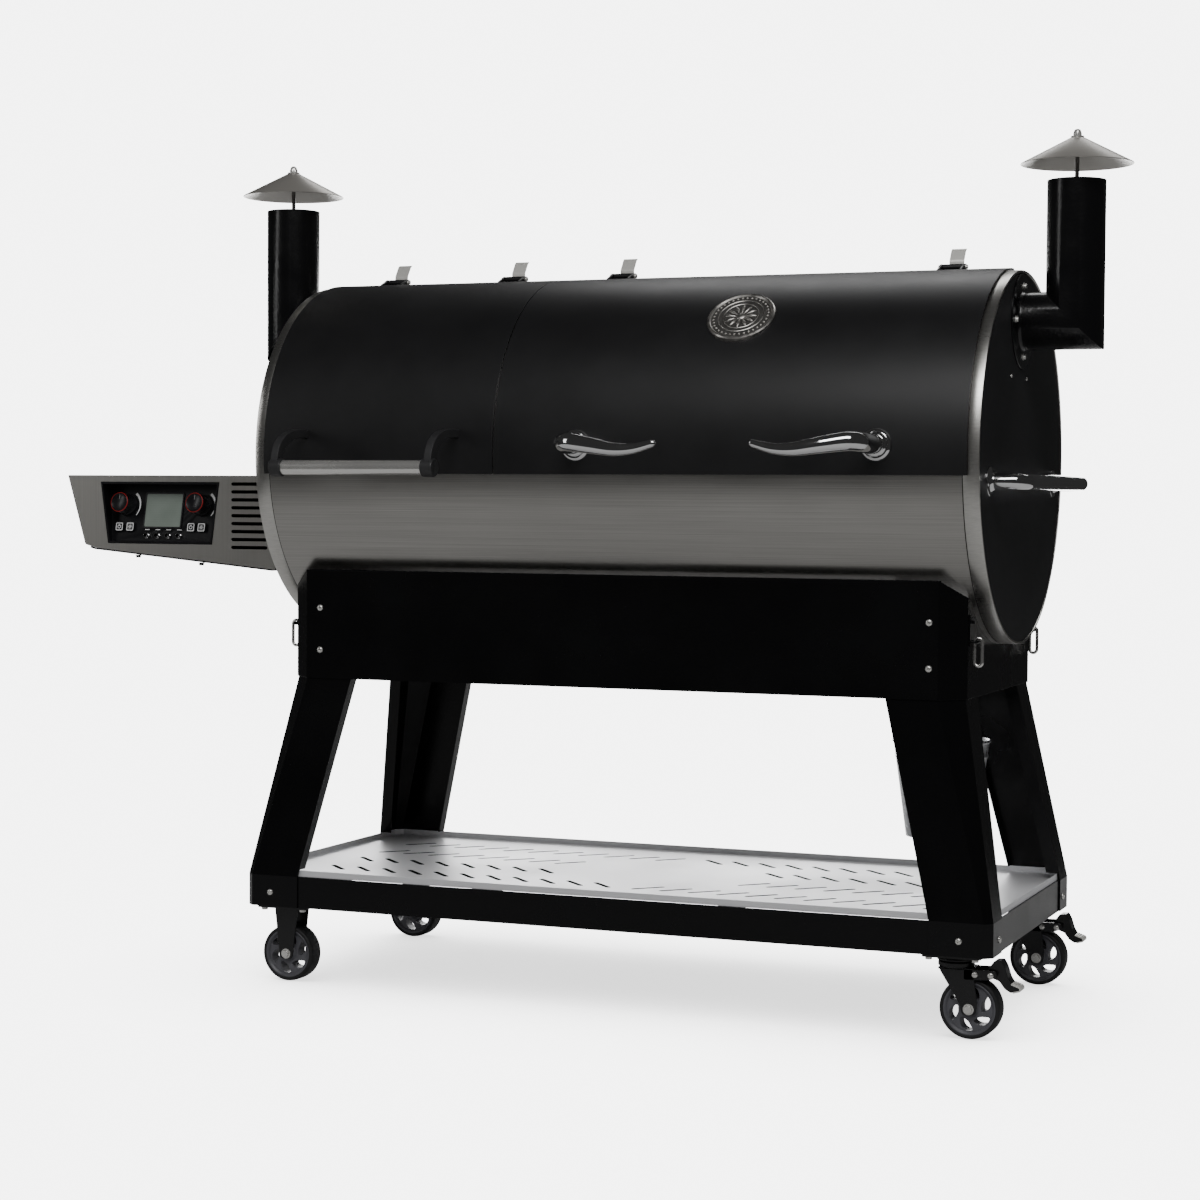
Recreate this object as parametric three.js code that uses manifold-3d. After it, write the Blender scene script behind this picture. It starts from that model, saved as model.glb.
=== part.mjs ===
// Barrel pellet smoker on a wheeled cart, in millimetres.
// X runs along the barrel, Y to the back, Z up. While the pieces are made, X = 0 and Y = 0 lie on the
// barrel's middle and Z = 0 is the floor; the last lines move the group so that its box is centred.
import * as THREE from "three";
import { mergeVertices } from "three/addons/utils/BufferGeometryUtils.js";
import Module from "manifold-3d";

const wasm = await Module();
wasm.setup();

// ---------------------------------------------------------------- driving dimensions
const GAP = 0.3; // between pieces that touch
const SHEET = 2; // folded sheet of the cart and the hopper

const barrel = { r: 330, wall: 3, half: 681, z: 984 };
const lid = { r: 334, wall: 3, end: 661, seam: -198.4, seamGap: 2, bottom: -35, top: -2 };
const door = { bottom: -12, top: -20, end: 640, post: 17 }; // the shell's two cut-outs
const endPanel = { r: barrel.r - barrel.wall - GAP, thick: 2, inset: 2 };
const hinge = { y: 4, up: 10, r: 5.5, pin: 3, half: 18, lug: 4, lugR: 6 };
const leftHinges = [-555, -306];
const rightHinges = [-83, 549];

const apron = { x: 642.5, y: 277, bevel: 41.2, top: 771.8, bevelTop: 742.7, bottom: 570.2, flange: 18 };
const cart = { x: 708.2, y: 314.4, bevel: 13, railTop: 202, railBottom: 144, flange: 38 };
const tray = { sheet: 1.5, top: 214, inset: 6.1 }; // it rests on the rails and its lips stand above them
const leg = {
  sheet: 2.5,
  flange: 24,
  top: 735,
  upper: { z: apron.bottom, faceX: 510, faceY: 151 },
  foot: { faceX: 600, faceY: 238 },
};

const caster = { x: 637, y: 265, trail: 27, wheelR: 52.5, width: 38, axle: 5, plateX: 102, plateY: 88 };
const forkIn = 21; // half the gap between a fork's two straps
const forkOut = 24;

const stack = { x: 772.7, y: -17.5, z: 1223, r: 50.8, wall: 2, top: 1466.8, flangeR: 84 };
const cap = { r: 97.9, rim: 1494.4, apex: 1547, sheet: 1.6, rod: 4, nut: 7.5, top: 1556 };
const sideHandle = { r: 14, y: 250, z: 940, reach: 57, bend: 30, flangeR: 25 };

const barHandle = { left: -576.5, right: -272.5, y: -436, z: 959, r: 13, collar: 17, arm: 14, deep: 17 };
const horn = { middle: 233, root: 272, z: 1000, rosette: 28 };

const hopper = { front: -250, back: 246, left: -1141, right: -683.5, top: 946 };
const hopperLid = { left: -1137, right: -832, depth: 4 }; // it ends short of the chimney beside it
const hopperFloor = { leftX: -1094, leftZ: 807, rightZ: 769 }; // the slanted underside
const bin = { left: -1108, right: -846, front: -178, back: 238, floor: 859, slopeTop: 905, slope: 60 };
const auger = { z: 835, r: 20, shaft: 6, tube: 26, bore: 23, from: -1052, to: -84, pitch: 100 };

// The control panel is recessed and leans back: its depth is a straight line in z.
const panel = { middle: -935, top: 933, bottom: 815, topHalf: 131, bottomHalf: 115, lean: 0.206 };
const panelY = (z) => -222 - panel.lean * (910 - z);

const bucket = { x: 539, rimR: 86, baseR: 62, base: 305, rim: 480, wall: 1.6, ear: 470 };
const drain = { x: 515, r: 13, bore: 10, bottom: 566, pegZ: 588 };
const ring = { x: 656, y: 216, bar: 668, eyeWire: 2.8, wire: 3, halfWidth: 5.5, height: 54 };
const firePot = { r: 70, wall: 3, base: 659, top: 866 };

// ---------------------------------------------------------------- materials
const finish = (color, metalness, roughness) =>
  new THREE.MeshStandardMaterial({ color, metalness, roughness });
const blackCoat = finish(0x141416, 0.3, 0.45);
const glossCoat = finish(0x060607, 0.2, 0.2);
const stainless = finish(0x9a978f, 1, 0.35);
const polished = finish(0xd8d8d8, 1, 0.08);
const charcoal = finish(0x26272a, 0.3, 0.5);
const blackPlastic = finish(0x101012, 0, 0.45);
const castIron = finish(0x1c1b1a, 0.6, 0.7);
const galvanised = finish(0xb0b3b6, 1, 0.4);
const tyreRubber = finish(0x161616, 0, 0.7);

// ---------------------------------------------------------------- solids
// A closed geometry as a manifold-3d solid, turned right side out if its profile ran the other way.
function solid(geometry) {
  const bare = geometry.index ? geometry.toNonIndexed() : geometry.clone();
  bare.deleteAttribute("normal");
  bare.deleteAttribute("uv");
  const merged = mergeVertices(bare, 1e-3);
  const corners = merged.index.array;
  const kept = [];
  for (let i = 0; i < corners.length; i += 3) {
    const [a, b, c] = [corners[i], corners[i + 1], corners[i + 2]];
    if (a !== b && b !== c && a !== c) kept.push(a, b, c);
  }
  const make = (triangles) =>
    new wasm.Manifold(
      new wasm.Mesh({
        numProp: 3,
        vertProperties: merged.attributes.position.array,
        triVerts: new Uint32Array(triangles),
      }),
    );
  const made = make(kept);
  return made.volume() > 0 ? made : make(kept.reverse());
}

const join = (...solids) => solids.reduce((a, b) => a.add(b));
const cut = (body, ...tools) => tools.reduce((a, b) => a.subtract(b), body);

function mesh(name, body, material) {
  const data = body.getMesh();
  const geometry = new THREE.BufferGeometry();
  geometry.setAttribute("position", new THREE.BufferAttribute(data.vertProperties, 3));
  geometry.setIndex(new THREE.BufferAttribute(data.triVerts, 1));
  geometry.computeVertexNormals();
  const piece = new THREE.Mesh(geometry, material);
  piece.name = name;
  return piece;
}

function block(x0, x1, y0, y1, z0, z1) {
  const g = new THREE.BoxGeometry(x1 - x0, y1 - y0, z1 - z0);
  return solid(g.translate((x0 + x1) / 2, (y0 + y1) / 2, (z0 + z1) / 2));
}

const vec = (p) => new THREE.Vector3(...p);

// A round bar between two points; its flats straddle the axes, so a level bar has a flat on the bottom.
function rod(r, from, to, sides = 12) {
  const axis = vec(to).sub(vec(from));
  const g = new THREE.CylinderGeometry(r, r, axis.length(), sides);
  g.rotateY(Math.PI / sides);
  const turn = new THREE.Quaternion().setFromUnitVectors(new THREE.Vector3(0, 1, 0), axis.normalize());
  return solid(g.applyQuaternion(turn).translate(...vec(from).add(vec(to)).multiplyScalar(0.5).toArray()));
}

const outline = (points) => new THREE.Shape(points.map(([x, y]) => new THREE.Vector2(x, y)));

const extruded = (shape, depth, segments) =>
  new THREE.ExtrudeGeometry(shape, { depth, bevelEnabled: false, curveSegments: segments });

// A shape drawn in (Y, Z) and drawn out along X, one in (X, Z) along Y, and one in (X, Y) along Z.
function alongX(shape, x0, x1, segments = 12) {
  const m = new THREE.Matrix4().set(0, 0, 1, x0, 1, 0, 0, 0, 0, 1, 0, 0, 0, 0, 0, 1);
  return solid(extruded(shape, x1 - x0, segments).applyMatrix4(m));
}
function alongY(shape, y0, y1, segments = 12) {
  const m = new THREE.Matrix4().set(1, 0, 0, 0, 0, 0, -1, y1, 0, 1, 0, 0, 0, 0, 0, 1);
  return solid(extruded(shape, y1 - y0, segments).applyMatrix4(m));
}
function alongZ(shape, z0, z1, segments = 12) {
  return solid(extruded(shape, z1 - z0, segments).translate(0, 0, z0));
}

// A closed profile of [radius, height] points turned about the upright line through (x, y).
function turned(profile, x, y, segments = 24) {
  const points = profile.concat([profile[0]]).map(([r, z]) => new THREE.Vector2(r, z));
  const g = new THREE.LatheGeometry(points, segments).rotateX(Math.PI / 2);
  return solid(g.translate(x, y, 0));
}

// Closed loops of equal length joined one to the next, with the two end loops filled in.
function loft(loops, flat) {
  const n = loops[0].length;
  const index = [];
  for (let k = 0; k + 1 < loops.length; k++)
    for (let i = 0; i < n; i++) {
      const [a, b] = [k * n + i, k * n + ((i + 1) % n)];
      index.push(a, b, b + n, a, b + n, a + n);
    }
  const face = flat ?? loops[0].map(([x, y]) => new THREE.Vector2(x, y));
  const last = (loops.length - 1) * n;
  for (const triangle of THREE.ShapeUtils.triangulateShape(face, [])) {
    // The triangles always turn anticlockwise, so a loop that runs the other way has them reversed.
    const [a, b, c] = THREE.ShapeUtils.isClockWise(face) ? triangle.reverse() : triangle;
    index.push(c, b, a, last + a, last + b, last + c);
  }
  const g = new THREE.BufferGeometry();
  g.setAttribute("position", new THREE.Float32BufferAttribute(loops.flat(2), 3));
  return solid(g.setIndex(index));
}

// A round section carried along a list of points, mitred at each; radii may change along it.
function tube(points, radius, sides = 10, closed = false) {
  const at = points.map(vec);
  const count = at.length;
  const radii = Array.isArray(radius) ? radius : at.map(() => radius);
  const direction = (i) => {
    const before = closed ? at[(i - 1 + count) % count] : at[Math.max(i - 1, 0)];
    const after = closed ? at[(i + 1) % count] : at[Math.min(i + 1, count - 1)];
    const inward = at[i].clone().sub(before).normalize();
    const outward = after.clone().sub(at[i]).normalize();
    return inward.add(outward).normalize();
  };
  const first = direction(0);
  const helper = Math.abs(first.z) < 0.9 ? new THREE.Vector3(0, 0, 1) : new THREE.Vector3(1, 0, 0);
  let side = helper.clone().cross(first).normalize();
  const loops = at.map((p, i) => {
    const d = direction(i);
    side = side.clone().addScaledVector(d, -side.dot(d)).normalize();
    const up = d.clone().cross(side);
    return Array.from({ length: sides }, (_, k) => {
      const turn = (2 * Math.PI * (k + 0.5)) / sides;
      return p
        .clone()
        .addScaledVector(side, radii[i] * Math.cos(turn))
        .addScaledVector(up, radii[i] * Math.sin(turn))
        .toArray();
    });
  });
  const flat = Array.from({ length: sides }, (_, k) => {
    const turn = (2 * Math.PI * k) / sides;
    return new THREE.Vector2(Math.cos(turn), Math.sin(turn));
  });
  if (!closed) return loft(loops, flat);
  const index = [];
  for (let k = 0; k < count; k++)
    for (let i = 0; i < sides; i++) {
      const [a, b] = [k * sides + i, k * sides + ((i + 1) % sides)];
      const step = k + 1 < count ? sides : -k * sides;
      index.push(a, b, b + step, a, b + step, a + step);
    }
  const g = new THREE.BufferGeometry();
  g.setAttribute("position", new THREE.Float32BufferAttribute(loops.flat(2), 3));
  return solid(g.setIndex(index));
}

// The points of a path whose corners are rounded to the given radius.
function bent(corners, radius, steps = 5) {
  const path = [corners[0]];
  for (let i = 1; i + 1 < corners.length; i++) {
    const [a, b, c] = [corners[i - 1], corners[i], corners[i + 1]].map(vec);
    const start = b.clone().addScaledVector(a.clone().sub(b).normalize(), radius);
    const end = b.clone().addScaledVector(c.clone().sub(b).normalize(), radius);
    const curve = new THREE.QuadraticBezierCurve3(start, b, end);
    curve.getPoints(steps).forEach((p) => path.push(p.toArray()));
  }
  return [...path, corners.at(-1)];
}

// A line of points given a width, as a closed outline.
function strip(line, width) {
  const side = (sign) =>
    line.map(([x, y], i) => {
      const [ax, ay] = line[Math.max(i - 1, 0)];
      const [bx, by] = line[Math.min(i + 1, line.length - 1)];
      const length = Math.hypot(bx - ax, by - ay);
      const off = (sign * width) / 2 / length;
      return [x - (by - ay) * off, y + (bx - ax) * off];
    });
  return outline([...side(1), ...side(-1).reverse()]);
}

// The sector of a ring between two angles, in degrees from +Y towards +Z, about the barrel's axis.
function ringSector(rOut, rIn, from, to) {
  const shape = new THREE.Shape();
  const [a, b] = [THREE.MathUtils.degToRad(from), THREE.MathUtils.degToRad(to)];
  shape.absarc(0, barrel.z, rOut, a, b, false);
  shape.absarc(0, barrel.z, rIn, b, a, true);
  return shape;
}

function ringShape(rOut, rIn, y, z) {
  const shape = new THREE.Shape();
  shape.absarc(y, z, rOut, 0, 2 * Math.PI, false);
  const hole = new THREE.Path();
  hole.absarc(y, z, rIn, 0, 2 * Math.PI, true);
  shape.holes.push(hole);
  return shape;
}

function discShape(r, y, z) {
  const shape = new THREE.Shape();
  shape.absarc(y, z, r, 0, 2 * Math.PI, false);
  return shape;
}

const BARREL_STEPS = 24; // half the flats of a full turn of the barrel
const LID_STEPS = 9; // half the flats of a lid's arc
const FLUE_SIDES = 16;
const barrelSpace = (grow, x0 = -800, x1 = 800) =>
  alongX(discShape(barrel.r + grow, 0, barrel.z), x0, x1, BARREL_STEPS);

// ---------------------------------------------------------------- barrel
function drainPipe() {
  const pipe = rod(drain.r, [drain.x, 0, drain.bottom], [drain.x, 0, barrel.z - barrel.r + 1]);
  const peg = tube(
    bent([[drain.x, 0, drain.pegZ], [drain.x + 40, 0, drain.pegZ], [drain.x + 40, 0, drain.pegZ + 14]], 6, 3),
    3.5,
    8,
  );
  return join(pipe, peg);
}

function makeBarrel() {
  const tubeWall = alongX(
    ringShape(barrel.r, barrel.r - barrel.wall, 0, barrel.z),
    -barrel.half,
    barrel.half,
    BARREL_STEPS,
  );
  const opening = (x0, x1) =>
    block(x0, x1, -400, door.top, barrel.z + door.bottom, barrel.z + 400);
  const bore = rod(drain.bore, [drain.x, 0, 500], [drain.x, 0, barrel.z - barrel.r + 20]);
  return mesh(
    "barrel_shell",
    cut(
      join(tubeWall, drainPipe()),
      opening(-door.end, lid.seam - door.post),
      opening(lid.seam + door.post, door.end),
      bore,
    ),
    stainless,
  );
}

function makeEndPanel(side, name) {
  const outer = barrel.half - endPanel.inset;
  const [x0, x1] = side > 0 ? [outer - endPanel.thick, outer] : [-outer, -outer + endPanel.thick];
  const disc = alongX(discShape(endPanel.r, 0, barrel.z), x0, x1, BARREL_STEPS);
  const flueR = stack.r - stack.wall;
  const flue = rod(flueR, [900 * side, stack.y, stack.z], [600 * side, stack.y, stack.z], FLUE_SIDES);
  const feed = rod(auger.tube + GAP, [-700, 0, auger.z], [-600, 0, auger.z], 24);
  return mesh(name, side > 0 ? cut(disc, flue) : cut(disc, flue, feed), charcoal);
}

// ---------------------------------------------------------------- lids
const hingeZ = barrel.z + barrel.r + hinge.up;

// A plate that hangs from the hinge pin and is welded on the lid's upper edge.
function hingeLug(x0) {
  const x1 = x0 + hinge.lug;
  const eye = rod(hinge.lugR, [x0, hinge.y, hingeZ], [x1, hinge.y, hingeZ]);
  const arm = alongX(
    outline([
      [hinge.y, hingeZ + 5.4],
      [hinge.y - 2, hingeZ - 5.4],
      [lid.top - 2, barrel.z + lid.r - 1],
      [-26, barrel.z + lid.r - 2],
      [-26, barrel.z + lid.r + 1],
    ]),
    x0,
    x1,
  );
  return join(eye, arm);
}

function makeLid(name, x0, x1, hingeCentres) {
  const foot = 180 - THREE.MathUtils.radToDeg(Math.asin(lid.bottom / lid.r));
  const crown = 90 - THREE.MathUtils.radToDeg(Math.asin(lid.top / lid.r));
  const sheet = alongX(ringSector(lid.r, lid.r - lid.wall, crown, foot), x0, x1, LID_STEPS);
  const lugs = hingeCentres.flatMap((x) => [
    hingeLug(x - hinge.half - 0.5 - hinge.lug),
    hingeLug(x + hinge.half + 0.5),
  ]);
  const holes = hingeCentres.map((x) =>
    rod(hinge.pin + GAP, [x - 40, hinge.y, hingeZ], [x + 40, hinge.y, hingeZ], 12),
  );
  return mesh(name, cut(join(sheet, ...lugs), ...holes), blackCoat);
}

// A knuckle tube on a weld pad with its pin, and behind it the bent tab that the open lid leans on.
function makeHinge(name, x) {
  const h = hinge.half;
  const knuckle = rod(hinge.r, [x - h, hinge.y, hingeZ], [x + h, hinge.y, hingeZ]);
  const pad = block(x - h, x + h, hinge.y - 3.5, hinge.y + 18, barrel.z + barrel.r - 1.5, hingeZ - 4);
  const pin = rod(hinge.pin, [x - h - 8, hinge.y, hingeZ], [x + h + 8, hinge.y, hingeZ], 12);
  const heads = [-1, 1].map((s) => {
    const inner = x + s * (h + hinge.lug + 1);
    return rod(5, [inner, hinge.y, hingeZ], [inner + s * 4, hinge.y, hingeZ], 6);
  });
  const [y, z] = [hinge.y, hingeZ];
  const tab = alongX(
    strip([[y + 8, z - 6], [y + 8, z + 12], [y + 22, z + 32], [y + 27, z + 34]], SHEET),
    x - 9,
    x + 18,
  );
  const body = cut(join(pad, tab), barrelSpace(GAP, x - 60, x + 60));
  return mesh(name, join(body, knuckle, pin, ...heads), stainless);
}

function makeBarHandle() {
  const curve = new THREE.QuadraticBezierCurve(
    new THREE.Vector2(-320, 1021),
    new THREE.Vector2(barHandle.y - 4, 1026),
    new THREE.Vector2(barHandle.y, barHandle.z),
  );
  const line = curve.getPoints(9).map((p) => [p.x, p.y]);
  const arms = [barHandle.left, barHandle.right].map((x) => {
    const web = alongX(strip(line, barHandle.deep), x - barHandle.arm / 2, x + barHandle.arm / 2);
    const ends = [x - 15, x + 15].map((at) => [at, barHandle.y, barHandle.z]);
    const collar = rod(barHandle.collar, ...ends);
    return join(web, collar);
  });
  const bar = rod(
    barHandle.r,
    [barHandle.left, barHandle.y, barHandle.z],
    [barHandle.right, barHandle.y, barHandle.z],
    20,
  );
  return mesh("lid_left_bar_handle", cut(join(bar, ...arms), lidSpace()), stainless);
}

const lidSpace = () =>
  alongX(discShape(lid.r + 1, 0, barrel.z), -barrel.half, barrel.half, BARREL_STEPS);

// A horn that stands out from its rosette, turns along the lid and thins to a blunt tip.
function makeHorn(name, side) {
  const x = (out) => horn.middle + side * out;
  const spine = new THREE.CatmullRomCurve3(
    [
      [272, -326, 0],
      [272, -370, 1],
      [266, -404, 3],
      [240, -424, 3],
      [200, -433, -3],
      [160, -437, -9],
      [125, -438, -8],
      [89, -437, 1],
    ].map(([out, y, up]) => new THREE.Vector3(x(out), y, horn.z + up)),
  );
  const steps = 12;
  const radiusAt = new THREE.CatmullRomCurve3(
    [17, 17, 17, 16.5, 14, 11.5, 9, 6.5].map((r, i) => new THREE.Vector3(i, r, 0)),
  );
  const points = Array.from({ length: steps + 1 }, (_, i) => spine.getPoint(i / steps).toArray());
  const radii = points.map((_, i) => radiusAt.getPoint(i / steps).y);
  const rosette = rod(horn.rosette, [x(horn.root), -325, horn.z], [x(horn.root), -341, horn.z], 24);
  return mesh(name, cut(join(tube(points, radii, 10), rosette), lidSpace()), polished);
}

// ---------------------------------------------------------------- flues and caps
function makeStack(name, side) {
  const shell = (r) => {
    const across = rod(r, [barrel.half * 0.98, 0, 0], [stack.x + 90, 0, 0], FLUE_SIDES);
    const upright = rod(r, [stack.x, 0, -90], [stack.x, 0, stack.top - stack.z], FLUE_SIDES);
    // Both tubes are cut on a plane at 45 degrees through their corner, and their ends share a thin slice.
    const far = 400;
    const slice = 0.5;
    const above = (raise) =>
      alongY(
        outline([
          [stack.x - far, far + raise],
          [stack.x + far, raise - far],
          [stack.x + far, far + raise],
        ]),
        -far,
        far,
      );
    return join(cut(across, above(slice)), upright.intersect(above(0)));
  };
  const face = barrel.half - endPanel.inset + GAP;
  const hollow = shell(stack.r - stack.wall);
  const flange = rod(stack.flangeR, [face, 0, 0], [face + 3, 0, 0], 24);
  const beyond = block(0, face, -200, 200, -200, 200);
  const open = rod(stack.r - stack.wall, [stack.x, 0, 20], [stack.x, 0, 400], FLUE_SIDES);
  const bore = join(hollow, open);
  const strap = block(stack.x - 8, stack.x + 8, -stack.r + 1, stack.r - 1, 234, 237);
  const rodHole = rod(cap.rod + 0.3, [stack.x, 0, 200], [stack.x, 0, 260]);
  const body = join(cut(join(shell(stack.r), flange), beyond, bore), cut(strap, rodHole));
  const piece = mesh(name, body, blackCoat);
  piece.position.set(0, stack.y, stack.z);
  piece.scale.set(side, 1, 1);
  return piece;
}

// The rain cap turns up and down on its threaded rod, which goes with it.
function makeCap(name, side) {
  const nutBase = cap.apex - 4;
  const cone = turned(
    [
      [0, nutBase - cap.sheet],
      [9, nutBase - cap.sheet],
      [cap.r - 1, cap.rim],
      [cap.r, cap.rim],
      [9, nutBase],
      [cap.nut, nutBase],
      [cap.nut, cap.top - 7],
      [4, cap.top],
      [0, cap.top],
    ],
    0,
    0,
  );
  const thread = rod(cap.rod, [0, 0, 1405], [0, 0, nutBase]);
  const piece = mesh(name, join(cone, thread), stainless);
  piece.position.set(side * stack.x, stack.y, 0);
  return piece;
}

function makeSideHandle() {
  const face = barrel.half - endPanel.inset + GAP;
  const [x, y] = [barrel.half + sideHandle.reach, sideHandle.y];
  const corners = [[face, -y], [x, -y], [x, y], [face, y]].map((at) => [...at, sideHandle.z]);
  const path = bent(corners, sideHandle.bend);
  const flanges = [-y, y].map((at) =>
    rod(sideHandle.flangeR, [face, at, sideHandle.z], [face + 5, at, sideHandle.z], 24),
  );
  return mesh("side_handle", join(tube(path, sideHandle.r, 12), ...flanges), polished);
}

// ---------------------------------------------------------------- cart: apron, legs, shelf
const bevelSlope = (apron.top - apron.bevelTop) / apron.bevel;

function makeLongApron(name, side) {
  const { x, y, bevel } = apron;
  const [fold, inner] = [y - SHEET, x - SHEET * 0.41];
  const plan = outline([
    [-x, y - bevel],
    [-x + bevel, y],
    [x - bevel, y],
    [x, y - bevel],
    [x - SHEET * 1.41, y - bevel],
    [inner - bevel, fold],
    [-inner + bevel, fold],
    [-x + SHEET * 1.41, y - bevel],
  ]);
  const wall = alongZ(plan, apron.bottom, apron.top);
  const topFlange = block(bevel - x, x - bevel, y - apron.flange, y - 1, apron.top - SHEET, apron.top);
  const corner = (s) =>
    alongY(
      outline([
        [s * (x - bevel), apron.top],
        [s * (x + bevel), apron.top - 2 * bevel * bevelSlope],
        [s * (x + bevel), apron.top + 50],
        [s * (x - bevel), apron.top + 50],
      ]),
      0,
      400,
    );
  const piece = mesh(name, cut(join(wall, topFlange), corner(1), corner(-1)), glossCoat);
  piece.scale.set(1, side, 1);
  return piece;
}

// An end apron is a plate with a saddle for the barrel and two eyes that hold the hanging rings.
function makeEndApron(name, side) {
  const half = apron.y - apron.bevel - GAP;
  const plate = block(apron.x - SHEET, apron.x, -half, half, apron.bottom, apron.bevelTop);
  const eyes = [-1, 1].map((s) => {
    const y = s * ring.y;
    const [a, b] = [y - 11, y + 11];
    const staple = [[apron.x - 1, a], [ring.x, a], [ring.x, b], [apron.x - 1, b]];
    const loop = tube(bent(staple.map((at) => [...at, ring.bar]), 5, 3), ring.eyeWire, 8);
    const washer = block(apron.x - 1, apron.x + 2.5, y - 14, y + 14, ring.bar - 8, ring.bar + 46);
    const bolt = rod(6.5, [apron.x, y, ring.bar + 36], [apron.x + 8, y, ring.bar + 36], 6);
    return join(loop, washer, bolt);
  });
  const piece = mesh(name, cut(join(plate, ...eyes), barrelSpace(GAP)), glossCoat);
  piece.scale.set(side, 1, 1);
  return piece;
}

// One level of a leg: a folded plate seen from above, from its front return to its side return.
function legSection(x, y, bevel, faceX, faceY, z) {
  const [t, f] = [leg.sheet, leg.flange];
  const k = t * 0.41;
  return [
    [faceX, y - f],
    [faceX, y],
    [x - bevel, y],
    [x, y - bevel],
    [x, faceY],
    [x - f, faceY],
    [x - f, faceY + t],
    [x - t, faceY + t],
    [x - t, y - bevel - k],
    [x - bevel - k, y - t],
    [faceX + t, y - t],
    [faceX + t, y - f],
  ].map(([px, py]) => [px, py, z]);
}

function makeLeg(name, sideX, sideY) {
  const { upper, foot } = leg;
  const tuck = SHEET + GAP; // the legs' tops stand inside the aprons
  const high = [apron.x - tuck, apron.y - tuck, apron.bevel - tuck * 0.58, upper.faceX, upper.faceY];
  const low = [cart.x, cart.y, cart.bevel, foot.faceX, foot.faceY];
  const body = loft([
    legSection(...low, cart.railBottom),
    legSection(...low, cart.railTop),
    legSection(...high, upper.z - 1),
    legSection(...high, leg.top),
  ]);
  const inner = leg.sheet + 0.1; // the foot covers the rail's outside, and the returns stop above the tray
  const railSpace = alongZ(
    bevelled(cart.x - inner, cart.y - inner, cart.bevel - 1),
    cart.railBottom - 1,
    cart.railTop + GAP,
  );
  const traySpace = alongZ(
    bevelled(cart.x - tray.inset + 0.5, cart.y - tray.inset + 1.5, cart.bevel),
    cart.railTop,
    tray.top + 1,
  );
  const piece = mesh(name, cut(body, barrelSpace(4), railSpace, traySpace), glossCoat);
  piece.scale.set(sideX, sideY, 1);
  return piece;
}

const bevelled = (x, y, bevel) =>
  outline([
    [x - bevel, -y],
    [x, -y + bevel],
    [x, y - bevel],
    [x - bevel, y],
    [bevel - x, y],
    [-x, y - bevel],
    [-x, -y + bevel],
    [bevel - x, -y],
  ]);

function makeShelfFrame() {
  const skin = leg.sheet + GAP; // the feet lie outside the rails
  const [x, y] = [cart.x - skin, cart.y - skin];
  const wall = 3;
  const [low, high] = [cart.railBottom, cart.railTop];
  const whole = alongZ(bevelled(x, y, cart.bevel), low, high);
  const channel = alongZ(bevelled(x - wall, y - wall, cart.bevel - 1), low + wall, high + 1);
  const middle = alongZ(bevelled(x - cart.flange, y - cart.flange, 20), low - 1, high);
  const gussets = [-1, 1].flatMap((sx) =>
    [-1, 1].map((sy) => {
      const [gx, gy] = [sx * (caster.x - 8), sy * (caster.y - 12)];
      return block(gx - 62, gx + 62, gy - 46, gy + 46, low, low + wall);
    }),
  );
  const ribs = [-235, 235].map((at) =>
    block(at - 12, at + 12, -y + 1, y - 1, high - 14, high),
  );
  return mesh("shelf_frame", join(cut(whole, channel, middle), ...gussets, ...ribs), glossCoat);
}

// The tray lies on the rails and their cross ribs, with its edge folded up all round.
function makeShelfPlate() {
  const { sheet, top, inset } = tray;
  const [x, y] = [cart.x - inset, cart.y - inset];
  const floor = cart.railTop + GAP;
  const whole = alongZ(bevelled(x, y, cart.bevel), floor, top);
  const hollow = alongZ(bevelled(x - sheet, y - sheet, cart.bevel), floor + sheet, top + 1);
  return mesh("shelf_plate", cut(whole, hollow), stainless);
}

// ---------------------------------------------------------------- casters
const plateTop = cart.railBottom - GAP;
const plateBottom = plateTop - 4;

function topPlate(x, y) {
  const [hx, hy] = [caster.plateX / 2, caster.plateY / 2];
  return block(x - hx, x + hx, y - hy, y + hy, plateBottom, plateTop);
}

// Two straps that taper to a round end about the axle, with the axle bolt through them.
const strapEnd = [[14, 6], [10, -8], [0, -13], [-10, -8], [-14, 6]];

function forkStraps(x, y, top, halfTop, axleX) {
  const z = caster.wheelR;
  const foot = strapEnd.map(([dx, dz]) => [axleX + dx, z + dz]);
  const strapShape = outline([[x - halfTop, top], [x + halfTop, top], ...foot]);
  const straps = [[-forkOut, -forkIn], [forkIn, forkOut]].map(([a, b]) => alongY(strapShape, y + a, y + b));
  const bolt = rod(caster.axle, [axleX, y - forkOut - 6, z], [axleX, y + forkOut + 6, z]);
  const heads = [-1, 1].map((s) =>
    rod(7.5, [axleX, y + s * (forkOut - 0.5), z], [axleX, y + s * (forkOut + 5), z], 6),
  );
  return join(...straps, bolt, ...heads);
}

function makeFixedCaster(name, y) {
  const x = -caster.x;
  const crown = block(x - 21, x + 21, y - forkOut, y + forkOut, plateBottom - 3, plateBottom + 1);
  const straps = forkStraps(x, y, plateBottom, 21, x);
  return mesh(name, join(topPlate(x, y), crown, straps), blackCoat);
}

const raceTop = 131;

function makeSwivelPlate(name, y) {
  const race = rod(33, [caster.x, y, raceTop], [caster.x, y, plateBottom + 1], 24);
  const hole = rod(7, [caster.x, y, raceTop - 5], [caster.x, y, plateTop + 5]);
  return mesh(name, cut(join(topPlate(caster.x, y), race), hole), blackCoat);
}

const pedalPin = { x: caster.x + 66, z: 114 };

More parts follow.
